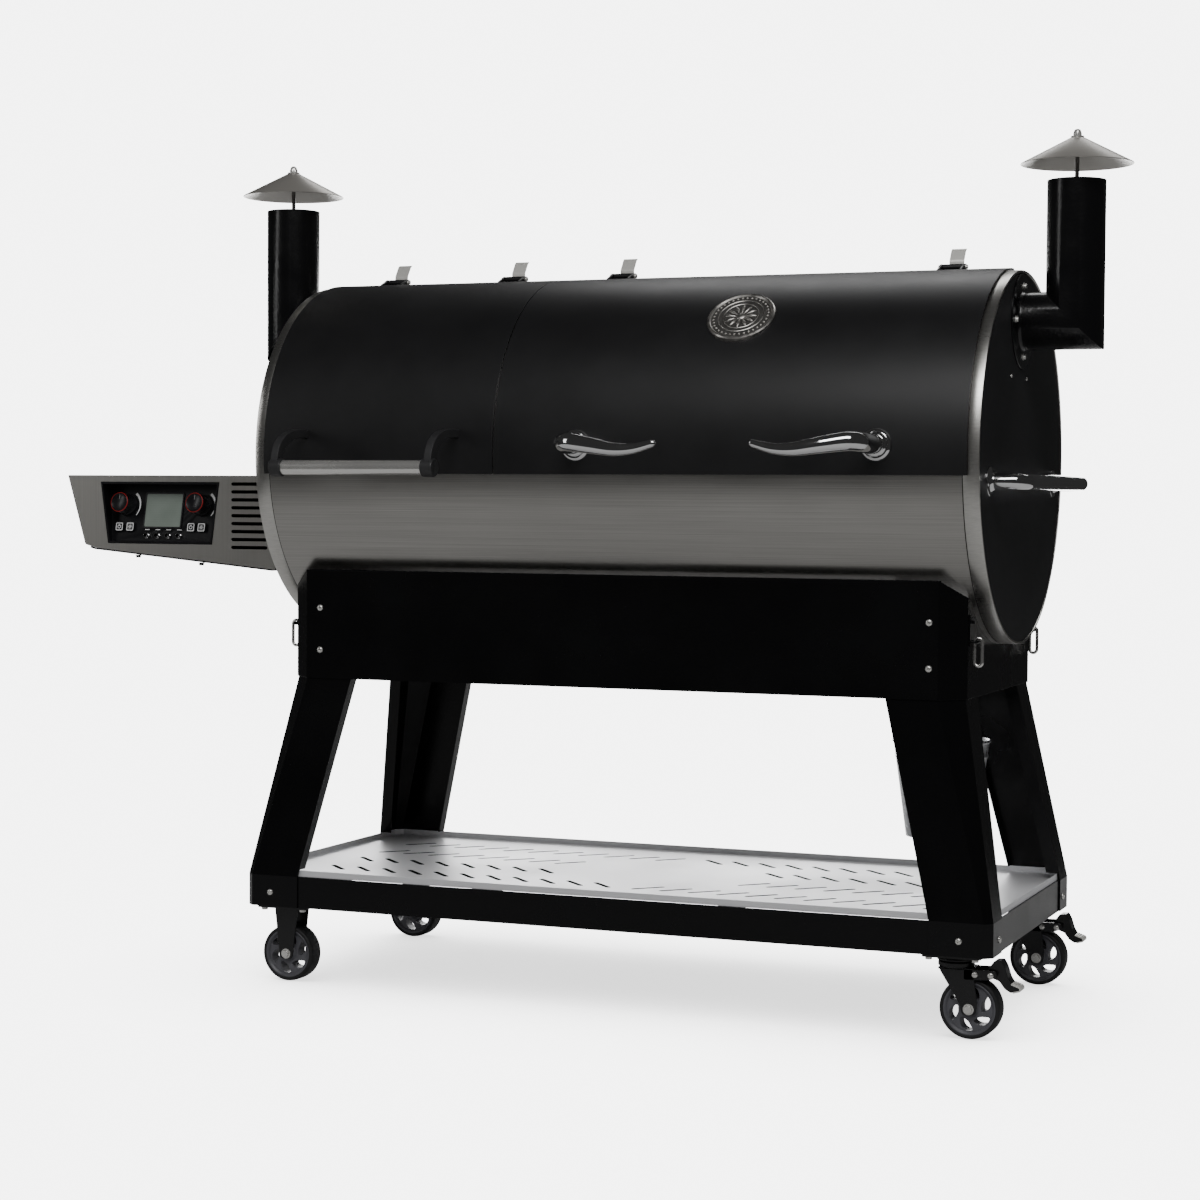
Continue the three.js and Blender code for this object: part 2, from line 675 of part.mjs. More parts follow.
function makeFork(name, y) {
  const { x } = caster;
  const crownTop = raceTop - GAP;
  const crown = rod(31, [x, y, 121], [x, y, crownTop], 24);
  const bridge = block(x - 26, x + 34, y - forkOut, y + forkOut, 118, 122);
  const kingpin = rod(6, [x, y, crownTop - 1], [x, y, plateTop - 1]);
  const straps = forkStraps(x + 4, y, 119, 30, x + caster.trail);
  const earShape = outline([
    [x + 20, 119],
    [x + 20, 104],
    [pedalPin.x, pedalPin.z - 7],
    [pedalPin.x + 7, pedalPin.z],
    [pedalPin.x, pedalPin.z + 7],
  ]);
  const ears = [[-forkOut, -forkIn], [forkIn, forkOut]].map(([a, b]) => alongY(earShape, y + a, y + b));
  const pin = rod(3, [pedalPin.x, y - forkOut, pedalPin.z], [pedalPin.x, y + forkOut, pedalPin.z], 12);
  return mesh(name, join(crown, bridge, kingpin, straps, ...ears, pin), blackCoat);
}

function makePedal(name, y) {
  const { x, z } = pedalPin;
  const half = forkIn - 1;
  const side = [[-8, -5], [-7, 10], [2, 22], [14, 23], [20, 13], [26, -6], [33, -17], [45, -21], [46, -26],
    [30, -30], [20, -24], [11, -12]]; // up over the pin and down to the treadle
  const lever = alongY(outline(side.map(([dx, dz]) => [x + dx, z + dz])), y - 14, y + 14);
  const hub = rod(6.5, [x, y - half, z], [x, y + half, z]);
  const hole = rod(3.3, [x, y - 40, z], [x, y + 40, z], 12);
  return mesh(name, cut(join(lever, hub), hole), blackCoat);
}

const wheelCentre = (fixed, y) => [fixed ? -caster.x : caster.x + caster.trail, y];

function makeWheel(name, fixed, y) {
  const sides = 20;
  const r = caster.wheelR / Math.cos(Math.PI / sides); // so that the flats, not the corners, reach the floor
  const [half, bore, hub, web, rim] = [caster.width / 2, caster.axle + 0.3, 14, 6, 43];
  const profile = [
    [bore, -half],
    [hub, -half],
    [hub, -web],
    [rim, -web],
    [rim, -half],
    [r - 4, -half],
    [r, 4 - half],
    [r, half - 4],
    [r - 4, half],
    [rim, half],
    [rim, web],
    [hub, web],
    [hub, half],
    [bore, half],
  ];
  const points = profile.concat([profile[0]]).map(([a, b]) => new THREE.Vector2(a, b));
  const geometry = new THREE.LatheGeometry(points, sides).rotateY(Math.PI / sides);
  const piece = mesh(name, solid(geometry), tyreRubber);
  const [x, yAt] = wheelCentre(fixed, y);
  piece.position.set(x, yAt, caster.wheelR);
  return piece;
}

// ---------------------------------------------------------------- hopper and controls
// The case seen from the front, with its floor slanting up to the left; inset draws its inside.
const hopperOutline = (inset) => {
  const { left, right, top } = hopper;
  const { leftX, leftZ, rightZ } = hopperFloor;
  return outline([
    [left + inset, top - inset],
    [leftX - 6 + inset, leftZ + 16],
    [leftX + 2 + inset, leftZ + 5 + inset],
    [leftX + 16 + inset, leftZ + inset],
    [right - inset, rightZ + inset],
    [right - inset, top - inset],
  ]);
};

// The pellet bin seen from the front: its left wall slopes down to the floor over the screw.
const binOutline = (grow, top) =>
  outline([
    [bin.left - grow, top],
    [bin.left - grow, bin.slopeTop],
    [bin.left + bin.slope - grow, bin.floor - grow],
    [bin.right + grow, bin.floor - grow],
    [bin.right + grow, top],
  ]);

// A folded case, open at the front behind the fascia, with the bin, its trough and the screw's tube in it.
function makeHopperBody() {
  const [front, over] = [hopper.front + SHEET + GAP, hopper.top + 10];
  const seat = hopper.top - hopperLid.depth; // the ledge that the lid closes on
  const whole = alongY(hopperOutline(0), front, hopper.back);
  const inside = cut(
    alongY(hopperOutline(SHEET), front - 1, hopper.back - SHEET),
    block(hopper.left, hopper.right, front - 2, hopper.back, seat - SHEET, over),
  );
  const binCase = alongY(binOutline(SHEET, seat), bin.front - SHEET, bin.back + SHEET);
  const binSpace = alongY(binOutline(0, over), bin.front, bin.back);
  const [troughFrom, troughTo] = [bin.left + 80, bin.right];
  const channel = (grow, top) =>
    block(troughFrom - grow, troughTo, -auger.bore - grow, auger.bore + grow, auger.z, top);
  const lidSeat = block(hopper.left - 1, hopperLid.right + 1, bin.front - 20, hopper.back + 1, seat, over);
  const tubeWall = rod(auger.tube, [auger.from, 0, auger.z], [auger.to, 0, auger.z], 24);
  const tubeBore = rod(auger.bore, [auger.from + SHEET, 0, auger.z], [auger.to + 1, 0, auger.z], 24);
  const body = join(cut(whole, inside), binCase, channel(SHEET, bin.floor), tubeWall);
  return mesh("hopper_body", cut(body, binSpace, lidSeat, tubeBore, channel(0, bin.floor + 1)), blackCoat);
}

const bezelShape = (grow) => {
  const { middle, top, bottom, topHalf, bottomHalf } = panel;
  return outline([
    [middle - topHalf - grow, top + grow],
    [middle - bottomHalf - grow, bottom - grow],
    [middle + bottomHalf + grow, bottom - grow],
    [middle + topHalf + grow, top + grow],
  ]);
};

function makeFascia() {
  const plate = alongY(hopperOutline(0), hopper.front, hopper.front + SHEET);
  const window = alongY(bezelShape(GAP), hopper.front - 5, hopper.front + 5);
  const slots = Array.from({ length: 9 }, (_, i) => {
    const z = 930 - 15 * i;
    return block(-778, -700, hopper.front - 5, hopper.front + 5, z - 3, z + 3);
  });
  return mesh("control_fascia", cut(plate, window, ...slots), stainless);
}

function makeBezel() {
  const depth = [hopper.front - 1, -206];
  const whole = alongY(bezelShape(0), ...depth);
  const mouth = alongY(bezelShape(-4), hopper.front - 20, -190);
  const inFront = alongX(
    outline([
      [panelY(780), 780],
      [panelY(960), 960],
      [-300, 960],
      [-300, 780],
    ]),
    panel.middle - 200,
    panel.middle + 200,
  );
  const jacks = [0, 1, 2, 3].map((i) => {
    const [x, z] = [panel.middle - 35.5 + 23.7 * i, 830];
    return rod(3, [x, panelY(z) - 20, z + 20 * panel.lean], [x, panelY(z) + 12, z - 12 * panel.lean], 10);
  });
  return mesh("control_bezel", cut(whole, mouth.intersect(inFront), ...jacks), blackPlastic);
}

// A round or square key that stands on the leaning panel: (out) is the distance along the panel's normal.
const onPanel = (x, z, out) => {
  const n = Math.hypot(1, panel.lean);
  return [x, panelY(z) - out / n, z + (out * panel.lean) / n];
};

function makeKnob(name, x) {
  const z = 888;
  const skirt = rod(21, onPanel(x, z, GAP), onPanel(x, z, 8), 16);
  const grip = rod(18.5, onPanel(x, z, 7), onPanel(x, z, 33), 16);
  return mesh(name, join(skirt, grip), blackPlastic);
}

function makeButton(name, x) {
  const z = 846;
  const g = new THREE.BoxGeometry(17, 3, 17);
  g.rotateX(-Math.atan(panel.lean));
  return mesh(name, solid(g.translate(...onPanel(x, z, 3.6))), blackPlastic);
}

function makeHopperLid() {
  const z = hopper.top - hopperLid.depth + GAP;
  const { left, right } = hopperLid;
  const pinY = hopper.back + 8;
  const sheet = block(left, right, bin.front - 19, pinY, z, hopper.top);
  const rim = [
    block(bin.left + 4, bin.right - 4, bin.front + 4, bin.front + 6, z - 14, z + 1),
    block(bin.left + 4, bin.right - 4, bin.back - 12, bin.back - 10, z - 14, z + 1),
  ];
  const knuckle = rod(4, [left + 40, pinY, z], [right - 40, pinY, z], 10);
  return mesh("hopper_lid", join(sheet, ...rim, knuckle), blackCoat);
}

function makeAuger() {
  const [from, to] = [auger.from + 8, auger.to - 4];
  const shaft = rod(auger.shaft, [from, 0, auger.z], [to, 0, auger.z], 8);
  const perTurn = 5;
  const root = auger.shaft - 2; // the flight's inner edge, inside the shaft
  const start = from + 12;
  const count = Math.floor(((to - 12 - start) / auger.pitch) * perTurn);
  const loops = Array.from({ length: count + 1 }, (_, i) => {
    const turn = (2 * Math.PI * i) / perTurn;
    const x = start + (auger.pitch * i) / perTurn;
    const section = [[root, -1.5], [auger.r, -1.5], [auger.r, 1.5], [root, 1.5]];
    return section.map(([r, dx]) => [x + dx, r * Math.cos(turn), auger.z + r * Math.sin(turn)]);
  });
  const flat = [[0, 0], [1, 0], [1, 1], [0, 1]].map(([x, y]) => new THREE.Vector2(x, y));
  return mesh("auger_screw", join(shaft, loft(loops, flat)), galvanised);
}

// ---------------------------------------------------------------- inside the barrel
function makeFirePot() {
  const { r, wall, base, top } = firePot;
  const pot = turned([[0, base + 4], [r - 20, base + 4], [r - 20, base + 40], [r, base + 60], [r, top],
    [r - wall, top], [r - wall, base + 62], [0, base + 46]], 0, 0, 24);
  const inlet = rod(auger.tube + 1, [-100, 0, auger.z], [-r + 12, 0, auger.z], 16);
  return mesh("fire_pot", cut(pot, inlet), castIron);
}

// The drip pan spans the barrel over the fire and rests on the curved wall.
function makeDripPan() {
  const [x, y, z, lip] = [560, 300, 870, 14];
  const whole = block(-x, x, -y, y, z, z + lip);
  const inner = block(SHEET - x, x - SHEET, SHEET - y, y - SHEET, z + SHEET, z + lip + 1);
  return mesh("drip_pan", cut(whole, inner), stainless);
}

// A cooking grate is a plate of bars whose ends rest on the barrel's curved wall.
function makeGrate(name, x0, x1) {
  const [y, z, thick, rim, pitch, bar] = [316, 926, 8, 9, 60, 12];
  const plate = block(x0, x1, -y, y, z, z + thick);
  const count = Math.round((x1 - x0 - 2 * rim) / pitch);
  const step = (x1 - x0 - 2 * rim + bar) / count;
  const slots = Array.from({ length: count }, (_, i) =>
    block(x0 + rim + step * i, x0 + rim + step * (i + 1) - bar, rim - y, y - rim, z - 1, z + thick + 1),
  );
  return mesh(name, cut(plate, ...slots), castIron);
}

// ---------------------------------------------------------------- hanging pieces
function makeBucket() {
  const { rimR, baseR, base, rim, wall } = bucket;
  const wallAt = (z, inset) => baseR + ((rimR - baseR) * (z - base)) / (rim - base) - inset;
  const pail = turned(
    [
      [0, base],
      [wallAt(base, 0), base],
      [wallAt(rim - 6, 0), rim - 6],
      [rimR + 2, rim - 4],
      [rimR + 2, rim],
      [wallAt(rim, wall), rim],
      [wallAt(base + 2, wall), base + 2],
      [0, base + 2],
    ],
    bucket.x,
    0,
  );
  const ears = [-1, 1].map((s) => {
    const [a, b] = [s * (rimR - 4), s * (rimR + 4)].sort((p, q) => p - q);
    return block(bucket.x - 9, bucket.x + 9, a, b, bucket.ear - 9, bucket.ear + 8);
  });
  const over = rim + 20;
  const inside = turned(
    [[0, base + 2], [wallAt(base + 2, wall), base + 2], [wallAt(over, wall), over], [0, over]],
    bucket.x,
    0,
  );
  return mesh("grease_bucket", cut(join(pail, ...ears), inside), galvanised);
}

function makeBail() {
  const wire = 2.2;
  const y = bucket.rimR + 4 + GAP + wire;
  const top = drain.pegZ + 3.5 + GAP + wire;
  const arch = new THREE.CatmullRomCurve3(
    [
      [-y, bucket.ear],
      [-y, bucket.ear + 30],
      [-y * 0.72, top - 34],
      [-14, top - 2],
      [0, top],
      [14, top - 2],
      [y * 0.72, top - 34],
      [y, bucket.ear + 30],
      [y, bucket.ear],
    ].map(([py, pz]) => new THREE.Vector3(bucket.x, py, pz)),
  );
  return mesh("bucket_bail", tube(arch.getPoints(22).map((p) => p.toArray()), wire, 8), galvanised);
}

// An oval link in the (X, Z) plane that hangs on its eye's bar.
function makeRing(name, sideX, sideY) {
  const { wire, halfWidth, height, bar } = ring;
  const top = bar + ring.eyeWire + GAP + wire;
  const straight = height - 2 * wire - 2 * (halfWidth + wire / 2);
  const r = halfWidth + wire / 2;
  const points = [];
  for (const [centre, from] of [[0, 0], [-straight, Math.PI]])
    for (let i = 0; i <= 6; i++) {
      const turn = from + (Math.PI * i) / 6;
      points.push([ring.x + r * Math.cos(turn), ring.y, top - r + centre + r * Math.sin(turn)]);
    }
  const piece = mesh(name, tube(points, wire, 8, true), polished);
  piece.scale.set(sideX, sideY, 1);
  return piece;
}

// ---------------------------------------------------------------- assembly
const corners = [
  ["front_left", -1, -1],
  ["front_right", 1, -1],
  ["rear_left", -1, 1],
  ["rear_right", 1, 1],
];
const ends = [
  ["left", -1],
  ["right", 1],
];
const rows = [
  ["front", -caster.y],
  ["rear", caster.y],
];

const body = new THREE.Group();
body.add(makeBarrel(), ...ends.map(([end, side]) => makeEndPanel(side, `end_panel_${end}`)));

const lids = new THREE.Group();
const half = lid.seamGap / 2;
lids.add(
  makeLid("lid_left", -lid.end, lid.seam - half, leftHinges),
  makeBarHandle(),
  makeLid("lid_right", lid.seam + half, lid.end, rightHinges),
  makeHorn("horn_handle_left", -1),
  makeHorn("horn_handle_right", 1),
  ...[...leftHinges, ...rightHinges].map((x, i) => makeHinge(`lid_hinge_${i + 1}`, x)),
);

const flues = new THREE.Group();
for (const [end, side] of ends)
  flues.add(makeStack(`stack_pipe_${end}`, side), makeCap(`stack_cap_${end}`, side));
flues.add(makeSideHandle());

const cartGroup = new THREE.Group();
cartGroup.add(makeLongApron("apron_front", -1), makeLongApron("apron_rear", 1));
for (const [end, side] of ends) cartGroup.add(makeEndApron(`apron_${end}`, side));
for (const [corner, sx, sy] of corners)
  cartGroup.add(makeLeg(`leg_${corner}`, sx, sy), makeRing(`hanging_ring_${corner}`, sx, sy));
cartGroup.add(makeShelfFrame(), makeShelfPlate());

const casters = new THREE.Group();
for (const [row, y] of rows)
  casters.add(
    makeFixedCaster(`caster_fixed_${row}_left`, y),
    makeSwivelPlate(`caster_plate_${row}_right`, y),
    makeFork(`caster_fork_${row}_right`, y),
    makePedal(`brake_pedal_${row}_right`, y),
    makeWheel(`wheel_${row}_left`, true, y),
    makeWheel(`wheel_${row}_right`, false, y),
  );

const hopperGroup = new THREE.Group();
hopperGroup.add(makeHopperBody(), makeFascia(), makeBezel(), makeHopperLid(), makeAuger());
hopperGroup.add(makeKnob("knob_left", -1020), makeKnob("knob_right", -854));
[-1031, -1007, -872, -849].forEach((x, i) => hopperGroup.add(makeButton(`button_${i + 1}`, x)));

const inside = new THREE.Group();
inside.add(
  makeFirePot(),
  makeDripPan(),
  makeGrate("cooking_grate_left", -652, lid.seam - 4),
  makeGrate("cooking_grate_right", lid.seam + 4, 652),
);

const hanging = new THREE.Group();
hanging.add(makeBucket(), makeBail());

const smoker = new THREE.Group();
smoker.add(body, lids, flues, cartGroup, casters, hopperGroup, inside, hanging);

// The origin goes on the floor under the middle of the whole object's box.
const box = new THREE.Box3().setFromObject(smoker);
const centre = box.getCenter(new THREE.Vector3());
smoker.position.set(-centre.x, -centre.y, -box.min.z);

export default smoker;
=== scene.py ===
"""The looks of the barrel pellet smoker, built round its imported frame.

Shapes are drawn in millimetres about the barrel: X = 0 and Y = 0 lie on the barrel's middle and Z = 0
is the floor. add_piece() turns them into metres in the row's frame.
"""

import math

import bmesh
import bpy
from mathutils import Matrix, Vector
from mathutils.geometry import delaunay_2d_cdt


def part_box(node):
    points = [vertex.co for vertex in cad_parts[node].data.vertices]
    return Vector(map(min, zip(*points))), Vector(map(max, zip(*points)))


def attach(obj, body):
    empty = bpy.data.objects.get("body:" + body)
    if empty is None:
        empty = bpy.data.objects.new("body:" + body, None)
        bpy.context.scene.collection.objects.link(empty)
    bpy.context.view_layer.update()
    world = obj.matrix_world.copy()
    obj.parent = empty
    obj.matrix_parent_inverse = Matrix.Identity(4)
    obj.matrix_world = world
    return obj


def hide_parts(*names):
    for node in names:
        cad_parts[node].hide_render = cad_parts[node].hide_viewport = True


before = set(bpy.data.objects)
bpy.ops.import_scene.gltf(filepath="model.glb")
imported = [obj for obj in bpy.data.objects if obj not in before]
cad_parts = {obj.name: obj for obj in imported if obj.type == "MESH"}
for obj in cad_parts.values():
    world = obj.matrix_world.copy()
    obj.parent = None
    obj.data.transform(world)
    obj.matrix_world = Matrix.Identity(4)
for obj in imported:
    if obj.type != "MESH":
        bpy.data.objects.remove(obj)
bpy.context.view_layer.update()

# ---------------------------------------------------------------- places taken from the frame
SHELL_LOW, SHELL_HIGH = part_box("barrel_shell")
ORIGIN = Vector(((SHELL_LOW.x + SHELL_HIGH.x) / 2, (SHELL_LOW.y + SHELL_HIGH.y) / 2, 0))
MM = 0.001
TO_ROW = Matrix.Translation(ORIGIN) @ Matrix.Scale(MM, 4)


def box_mm(node):
    """A node's lowest and highest corners, in millimetres about the barrel."""
    low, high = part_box(node)
    return (low - ORIGIN) / MM, (high - ORIGIN) / MM


def middle(node):
    low, high = box_mm(node)
    return (low + high) / 2


# ---------------------------------------------------------------- driving dimensions, mm
BARREL_R = (SHELL_HIGH.y - SHELL_LOW.y) / 2 / MM
BARREL_Z = SHELL_HIGH.z / MM - BARREL_R
BARREL_HALF = (SHELL_HIGH.x - SHELL_LOW.x) / 2 / MM
BARREL_WALL = 3
LID_R = BARREL_R + 4
LID_FOOT = 35  # below the barrel's axis
SEAM_LEFT = box_mm("lid_left")[1].x
SEAM_RIGHT = box_mm("lid_right")[0].x
LID_END = box_mm("lid_right")[1].x
DOOR_END = 640
DOOR_POST = 16
BAND = 28.5  # width of the bright band round each end
CROWN, FRONT, FULL = 90, 180, 360  # angles round the barrel, in degrees from the back over the top

RIGHT = Vector((1, 0, 0))
BACK = Vector((0, 1, 0))
UP = Vector((0, 0, 1))
FORWARD = -BACK
BARREL_CENTRE = Vector((0, 0, BARREL_Z))

PANEL_LEAN = 0.206  # the control panel's lean, as a slope
PANEL_NORMAL = Vector((0, -1, PANEL_LEAN)).normalized()


def panel_point(x, z, out=0):
    """A point on the leaning control panel, lifted off it by out."""
    return Vector((x, -222 - PANEL_LEAN * (910 - z), z)) + PANEL_NORMAL * out


# ---------------------------------------------------------------- materials
def add_node(tree, kind, links=None, **values):
    """A node with its properties and sockets set; links maps its inputs to other nodes' outputs."""
    node = tree.nodes.new(kind)
    for key, value in values.items():
        if hasattr(node, key):
            setattr(node, key, value)
        else:
            node.inputs[key.replace("_", " ")].default_value = value
    for socket, output in (links or {}).items():
        tree.links.new(output, node.inputs[socket])
    return node


class Surface:
    """A Principled material whose colour, gloss and relief can follow noise."""

    def __init__(self, name, colour, metallic, roughness, **sockets):
        self.material = bpy.data.materials.new(name)
        self.material.use_nodes = True
        self.tree = self.material.node_tree
        self.shader = self.tree.nodes["Principled BSDF"]
        self.colour, self.roughness = colour, roughness
        base = {"Base Color": (*colour, 1), "Metallic": metallic, "Roughness": roughness}
        for socket, value in (base | sockets).items():
            self.shader.inputs[socket.replace("_", " ")].default_value = value

    def node(self, kind, links=None, **values):
        return add_node(self.tree, kind, links, **values)

    def place(self):
        """The place in the row, in metres."""
        return self.node("ShaderNodeTexCoord").outputs["Object"]

    def noise(self, scale, detail=3.0, roughness=0.6):
        """Noise with one scale per metre, or its own along X, Y and Z."""
        mapped = self.node("ShaderNodeMapping", {"Vector": self.place()})
        mapped.inputs["Scale"].default_value = scale if isinstance(scale, tuple) else (scale,) * 3
        links = {"Vector": mapped.outputs["Vector"]}
        noise = self.node("ShaderNodeTexNoise", links, Scale=1.0, Detail=detail, Roughness=roughness)
        return noise.outputs["Fac"]

    def cells(self, scale, **values):
        return self.node("ShaderNodeTexVoronoi", {"Vector": self.place()}, Scale=scale, **values)

    def remap(self, value, low, high, start=0.3, stop=0.7):
        """Spreads a noise value over a range of numbers."""
        node = self.node("ShaderNodeMapRange", {"Value": value})
        for socket, number in (("From Min", start), ("From Max", stop), ("To Min", low), ("To Max", high)):
            node.inputs[socket].default_value = number
        return node.outputs["Result"]

    def ramp(self, value, dark, light, start=0.3, stop=0.7):
        """A colour between dark and light."""
        ramp = self.node("ShaderNodeValToRGB", {"Fac": value})
        ends = ramp.color_ramp.elements
        ends[0].position, ends[1].position = start, stop
        ends[0].color, ends[1].color = (*dark, 1), (*light, 1)
        return ramp.outputs["Color"]

    def feed(self, socket, output):
        self.tree.links.new(output, self.shader.inputs[socket])

    def tint(self, value, dark, light, start=0.3, stop=0.7):
        """Varies the colour between dark and light times its own."""
        ends = [tuple(min(1.0, c * factor) for c in self.colour) for factor in (dark, light)]
        self.feed("Base Color", self.ramp(value, *ends, start, stop))

    def wear(self, value, less, more, start=0.3, stop=0.7):
        """Varies the roughness, from less below its own to more above it."""
        low, high = self.roughness - less, self.roughness + more
        self.feed("Roughness", self.remap(value, low, high, start, stop))

    def bump(self, height, strength, distance):
        node = self.node("ShaderNodeBump", {"Height": height}, Strength=strength, Distance=distance)
        self.feed("Normal", node.outputs["Normal"])


def brushed(name, colour, grain, roughness=0.34, contrast=0.1, **sockets):
    """Brushed metal: grain is the noise's scale along each axis, small along the brush's strokes."""
    look = Surface(name, colour, 1.0, roughness, **sockets)
    strokes, cloud = look.noise(grain, 4.0, 0.7), look.noise(4, 2.0)
    mixed = look.node("ShaderNodeMath", {0: strokes, 1: cloud, 2: cloud}, operation="MULTIPLY_ADD")
    look.tint(strokes, 1 - contrast, 1 + contrast)
    look.wear(mixed.outputs[0], 0.06, 0.06, 0.4, 1.1)
    look.bump(strokes, 0.12, 0.00008)
    return look.material


def coated(name, colour, roughness, peel, peel_depth, **sockets):
    """Powder coat: fine orange peel and slight wear in its gloss; peel is its scale, per metre."""
    look = Surface(name, colour, 0.0, roughness, **sockets)
    cloud = look.noise(5, 4.0)
    look.tint(cloud, 0.85, 1.2)
    look.wear(cloud, 0.03, 0.05)
    look.bump(look.noise(peel, 2.0), 0.25, peel_depth)
    return look.material


def hammered(name, colour, roughness):
    """Black hammer finish: small soft cells."""
    look = Surface(name, colour, 0.0, roughness)
    look.wear(look.noise(12, 3.0), 0.05, 0.08)
    look.bump(look.cells(190.0, feature="SMOOTH_F1").outputs["Distance"], 0.3, 0.0006)
    return look.material


def polished(name, colour, roughness, **sockets):
    """Polished metal with faint smears."""
    look = Surface(name, colour, 1.0, roughness, **sockets)
    smear = look.noise((30, 60, 60), 4.0)
    look.wear(smear, 0, 0.07)
    look.bump(smear, 0.05, 0.0002)
    return look.material


def moulded(name, colour, roughness, grain=700, depth=0.00012, **sockets):
    """Moulded plastic or rubber with a fine grain."""
    look = Surface(name, colour, 0.0, roughness, **sockets)
    cloud = look.noise(25, 3.0)
    look.tint(cloud, 0.85, 1.15)
    look.wear(cloud, 0.04, 0.06)
    look.bump(look.noise(grain, 2.0), 0.3, depth)
    return look.material


def cast(name, colour, roughness):
    """Cast iron: rough grain and patchy seasoning."""
    look = Surface(name, colour, 0.4, roughness)
    patches = look.noise(18, 4.0)
    look.tint(patches, 0.7, 1.5)
    look.wear(patches, 0.15, 0.1)
    look.bump(look.noise(260, 5.0), 0.5, 0.0006)
    return look.material


def spangled(name, colour, roughness):
    """Zinc plate: flat crystals, each a slightly different grey."""
    look = Surface(name, colour, 1.0, roughness)
    cells = look.cells(120.0)
    grey = look.node("ShaderNodeRGBToBW", {"Color": cells.outputs["Color"]}).outputs["Val"]
    look.tint(grey, 0.82, 1.1, 0, 1)
    look.wear(grey, 0.08, 0.1, 0, 1)
    return look.material


def turned_metal(name, colour, centre, roughness, **sockets):
    """Sheet brushed in rings round an upright line through centre."""
    look = Surface(name, colour, 1.0, roughness, **sockets)
    offset = look.node("ShaderNodeVectorMath", {0: look.place()}, operation="SUBTRACT")
    offset.inputs[1].default_value = centre
    flat = look.node("ShaderNodeVectorMath", {0: offset.outputs[0]}, operation="MULTIPLY")
    flat.inputs[1].default_value = (1, 1, 0)
    reach = look.node("ShaderNodeVectorMath", {0: flat.outputs[0]}, operation="LENGTH")
    rings = look.node(
        "ShaderNodeTexNoise", {"W": reach.outputs["Value"]}, noise_dimensions="1D", Scale=900, Detail=4
    ).outputs["Fac"]
    look.tint(rings, 0.88, 1.1)
    look.wear(rings, 0.06, 0.08)
    look.bump(rings, 0.15, 0.0001)
    return look.material


def lcd_glass(name):
    """An unlit grey-green display under clear glass, with its faint dot grid."""
    look = Surface(name, (0.16, 0.19, 0.165), 0.0, 0.22, Coat_Weight=0.6)
    cells = look.cells(1100.0, distance="CHEBYCHEV")
    cells.inputs["Randomness"].default_value = 0
    base = look.ramp(look.noise(14, 2.0), (0.15, 0.18, 0.155), (0.2, 0.235, 0.205))
    lines = look.ramp(cells.outputs["Distance"], (1, 1, 1), (0.86, 0.86, 0.86), 0.42, 0.5)
    mixed = look.node("ShaderNodeMix", {6: base, 7: lines}, data_type="RGBA", blend_type="MULTIPLY")
    mixed.inputs[0].default_value = 1.0
    look.feed("Base Color", mixed.outputs[2])
    return look.material


STEEL = (0.42, 0.41, 0.39)
ALONG_X, ALONG_Z = (2.5, 900, 900), (900, 900, 2.5)  # strokes along X and along Z

LID_COAT = coated("lid_coat", (0.0065, 0.0065, 0.0072), 0.42, 900, 0.00012)
GLOSS_COAT = coated("gloss_coat", (0.003, 0.003, 0.0033), 0.24, 420, 0.00006, Specular_IOR_Level=0.22)
CASTER_COAT = coated("caster_coat", (0.006, 0.006, 0.0065), 0.26, 500, 0.0001)
END_COAT = coated("end_coat", (0.012, 0.012, 0.0135), 0.5, 700, 0.00012)
HAMMER_COAT = hammered("hammer_coat", (0.004, 0.004, 0.0045), 0.2)
BARREL_STEEL = brushed("barrel_steel", STEEL, ALONG_X, 0.32, 0.2)
BAND_STEEL = brushed("band_steel", (0.62, 0.61, 0.58), (60, 500, 500), 0.3)
FASCIA_STEEL = brushed("fascia_steel", (0.44, 0.43, 0.405), ALONG_Z, 0.42)
TRAY_STEEL = brushed("tray_steel", (0.86, 0.86, 0.88), ALONG_X, 0.46, 0.03, Metallic=0.6)
BAR_STEEL = brushed("bar_steel", (0.8, 0.79, 0.76), ALONG_X, 0.26, Metallic=0.85)
PLATE_STEEL = brushed("plate_steel", (0.75, 0.74, 0.7), ALONG_Z, 0.4, Metallic=0.5)
DARK_STEEL = brushed("dark_steel", (0.3, 0.29, 0.28), (300, 300, 300), 0.5, 0.25)
CHROME = polished("chrome", (0.82, 0.82, 0.82), 0.05)
LINK_STEEL = polished("link_steel", (0.74, 0.73, 0.71), 0.15, Metallic=0.92)
FASTENER = polished("fastener", (0.75, 0.74, 0.71), 0.22, Metallic=0.75)
PEWTER = spangled("pewter", (0.6, 0.58, 0.55), 0.36)
PEWTER_DARK = cast("pewter_dark", (0.05, 0.048, 0.045), 0.6)
ZINC = spangled("zinc", (0.66, 0.67, 0.68), 0.32)
IRON = cast("iron", (0.02, 0.018, 0.017), 0.55)
MATTE_PLASTIC = moulded("matte_plastic", (0.02, 0.02, 0.021), 0.5)
PANEL_PLASTIC = moulded("panel_plastic", (0.006, 0.006, 0.007), 0.4, Specular_IOR_Level=0.2)
KNOB_PLASTIC = moulded("knob_plastic", (0.006, 0.006, 0.007), 0.3)
RUBBER = moulded("rubber", (0.010, 0.010, 0.0105), 0.62, 500, 0.0002)
RIM_GREY = moulded("rim_grey", (0.085, 0.085, 0.095), 0.42)
RED = moulded("red_ring", (0.36, 0.01, 0.01), 0.4)
PRINT = moulded("white_print", (0.9, 0.9, 0.9), 0.5)
DIM_PRINT = moulded("dim_print", (0.16, 0.16, 0.16), 0.5)
# painted shade: the black of the groove beside each rim band
GROOVE_SHADE = moulded("painted_groove_shade", (0.004, 0.004, 0.004), 0.8)
# painted shade: near-black walls that darken the tray's slots
SLOT_SHADE = moulded("slot_painted_shade", (0.006, 0.006, 0.006), 0.75, Specular_IOR_Level=0.1)
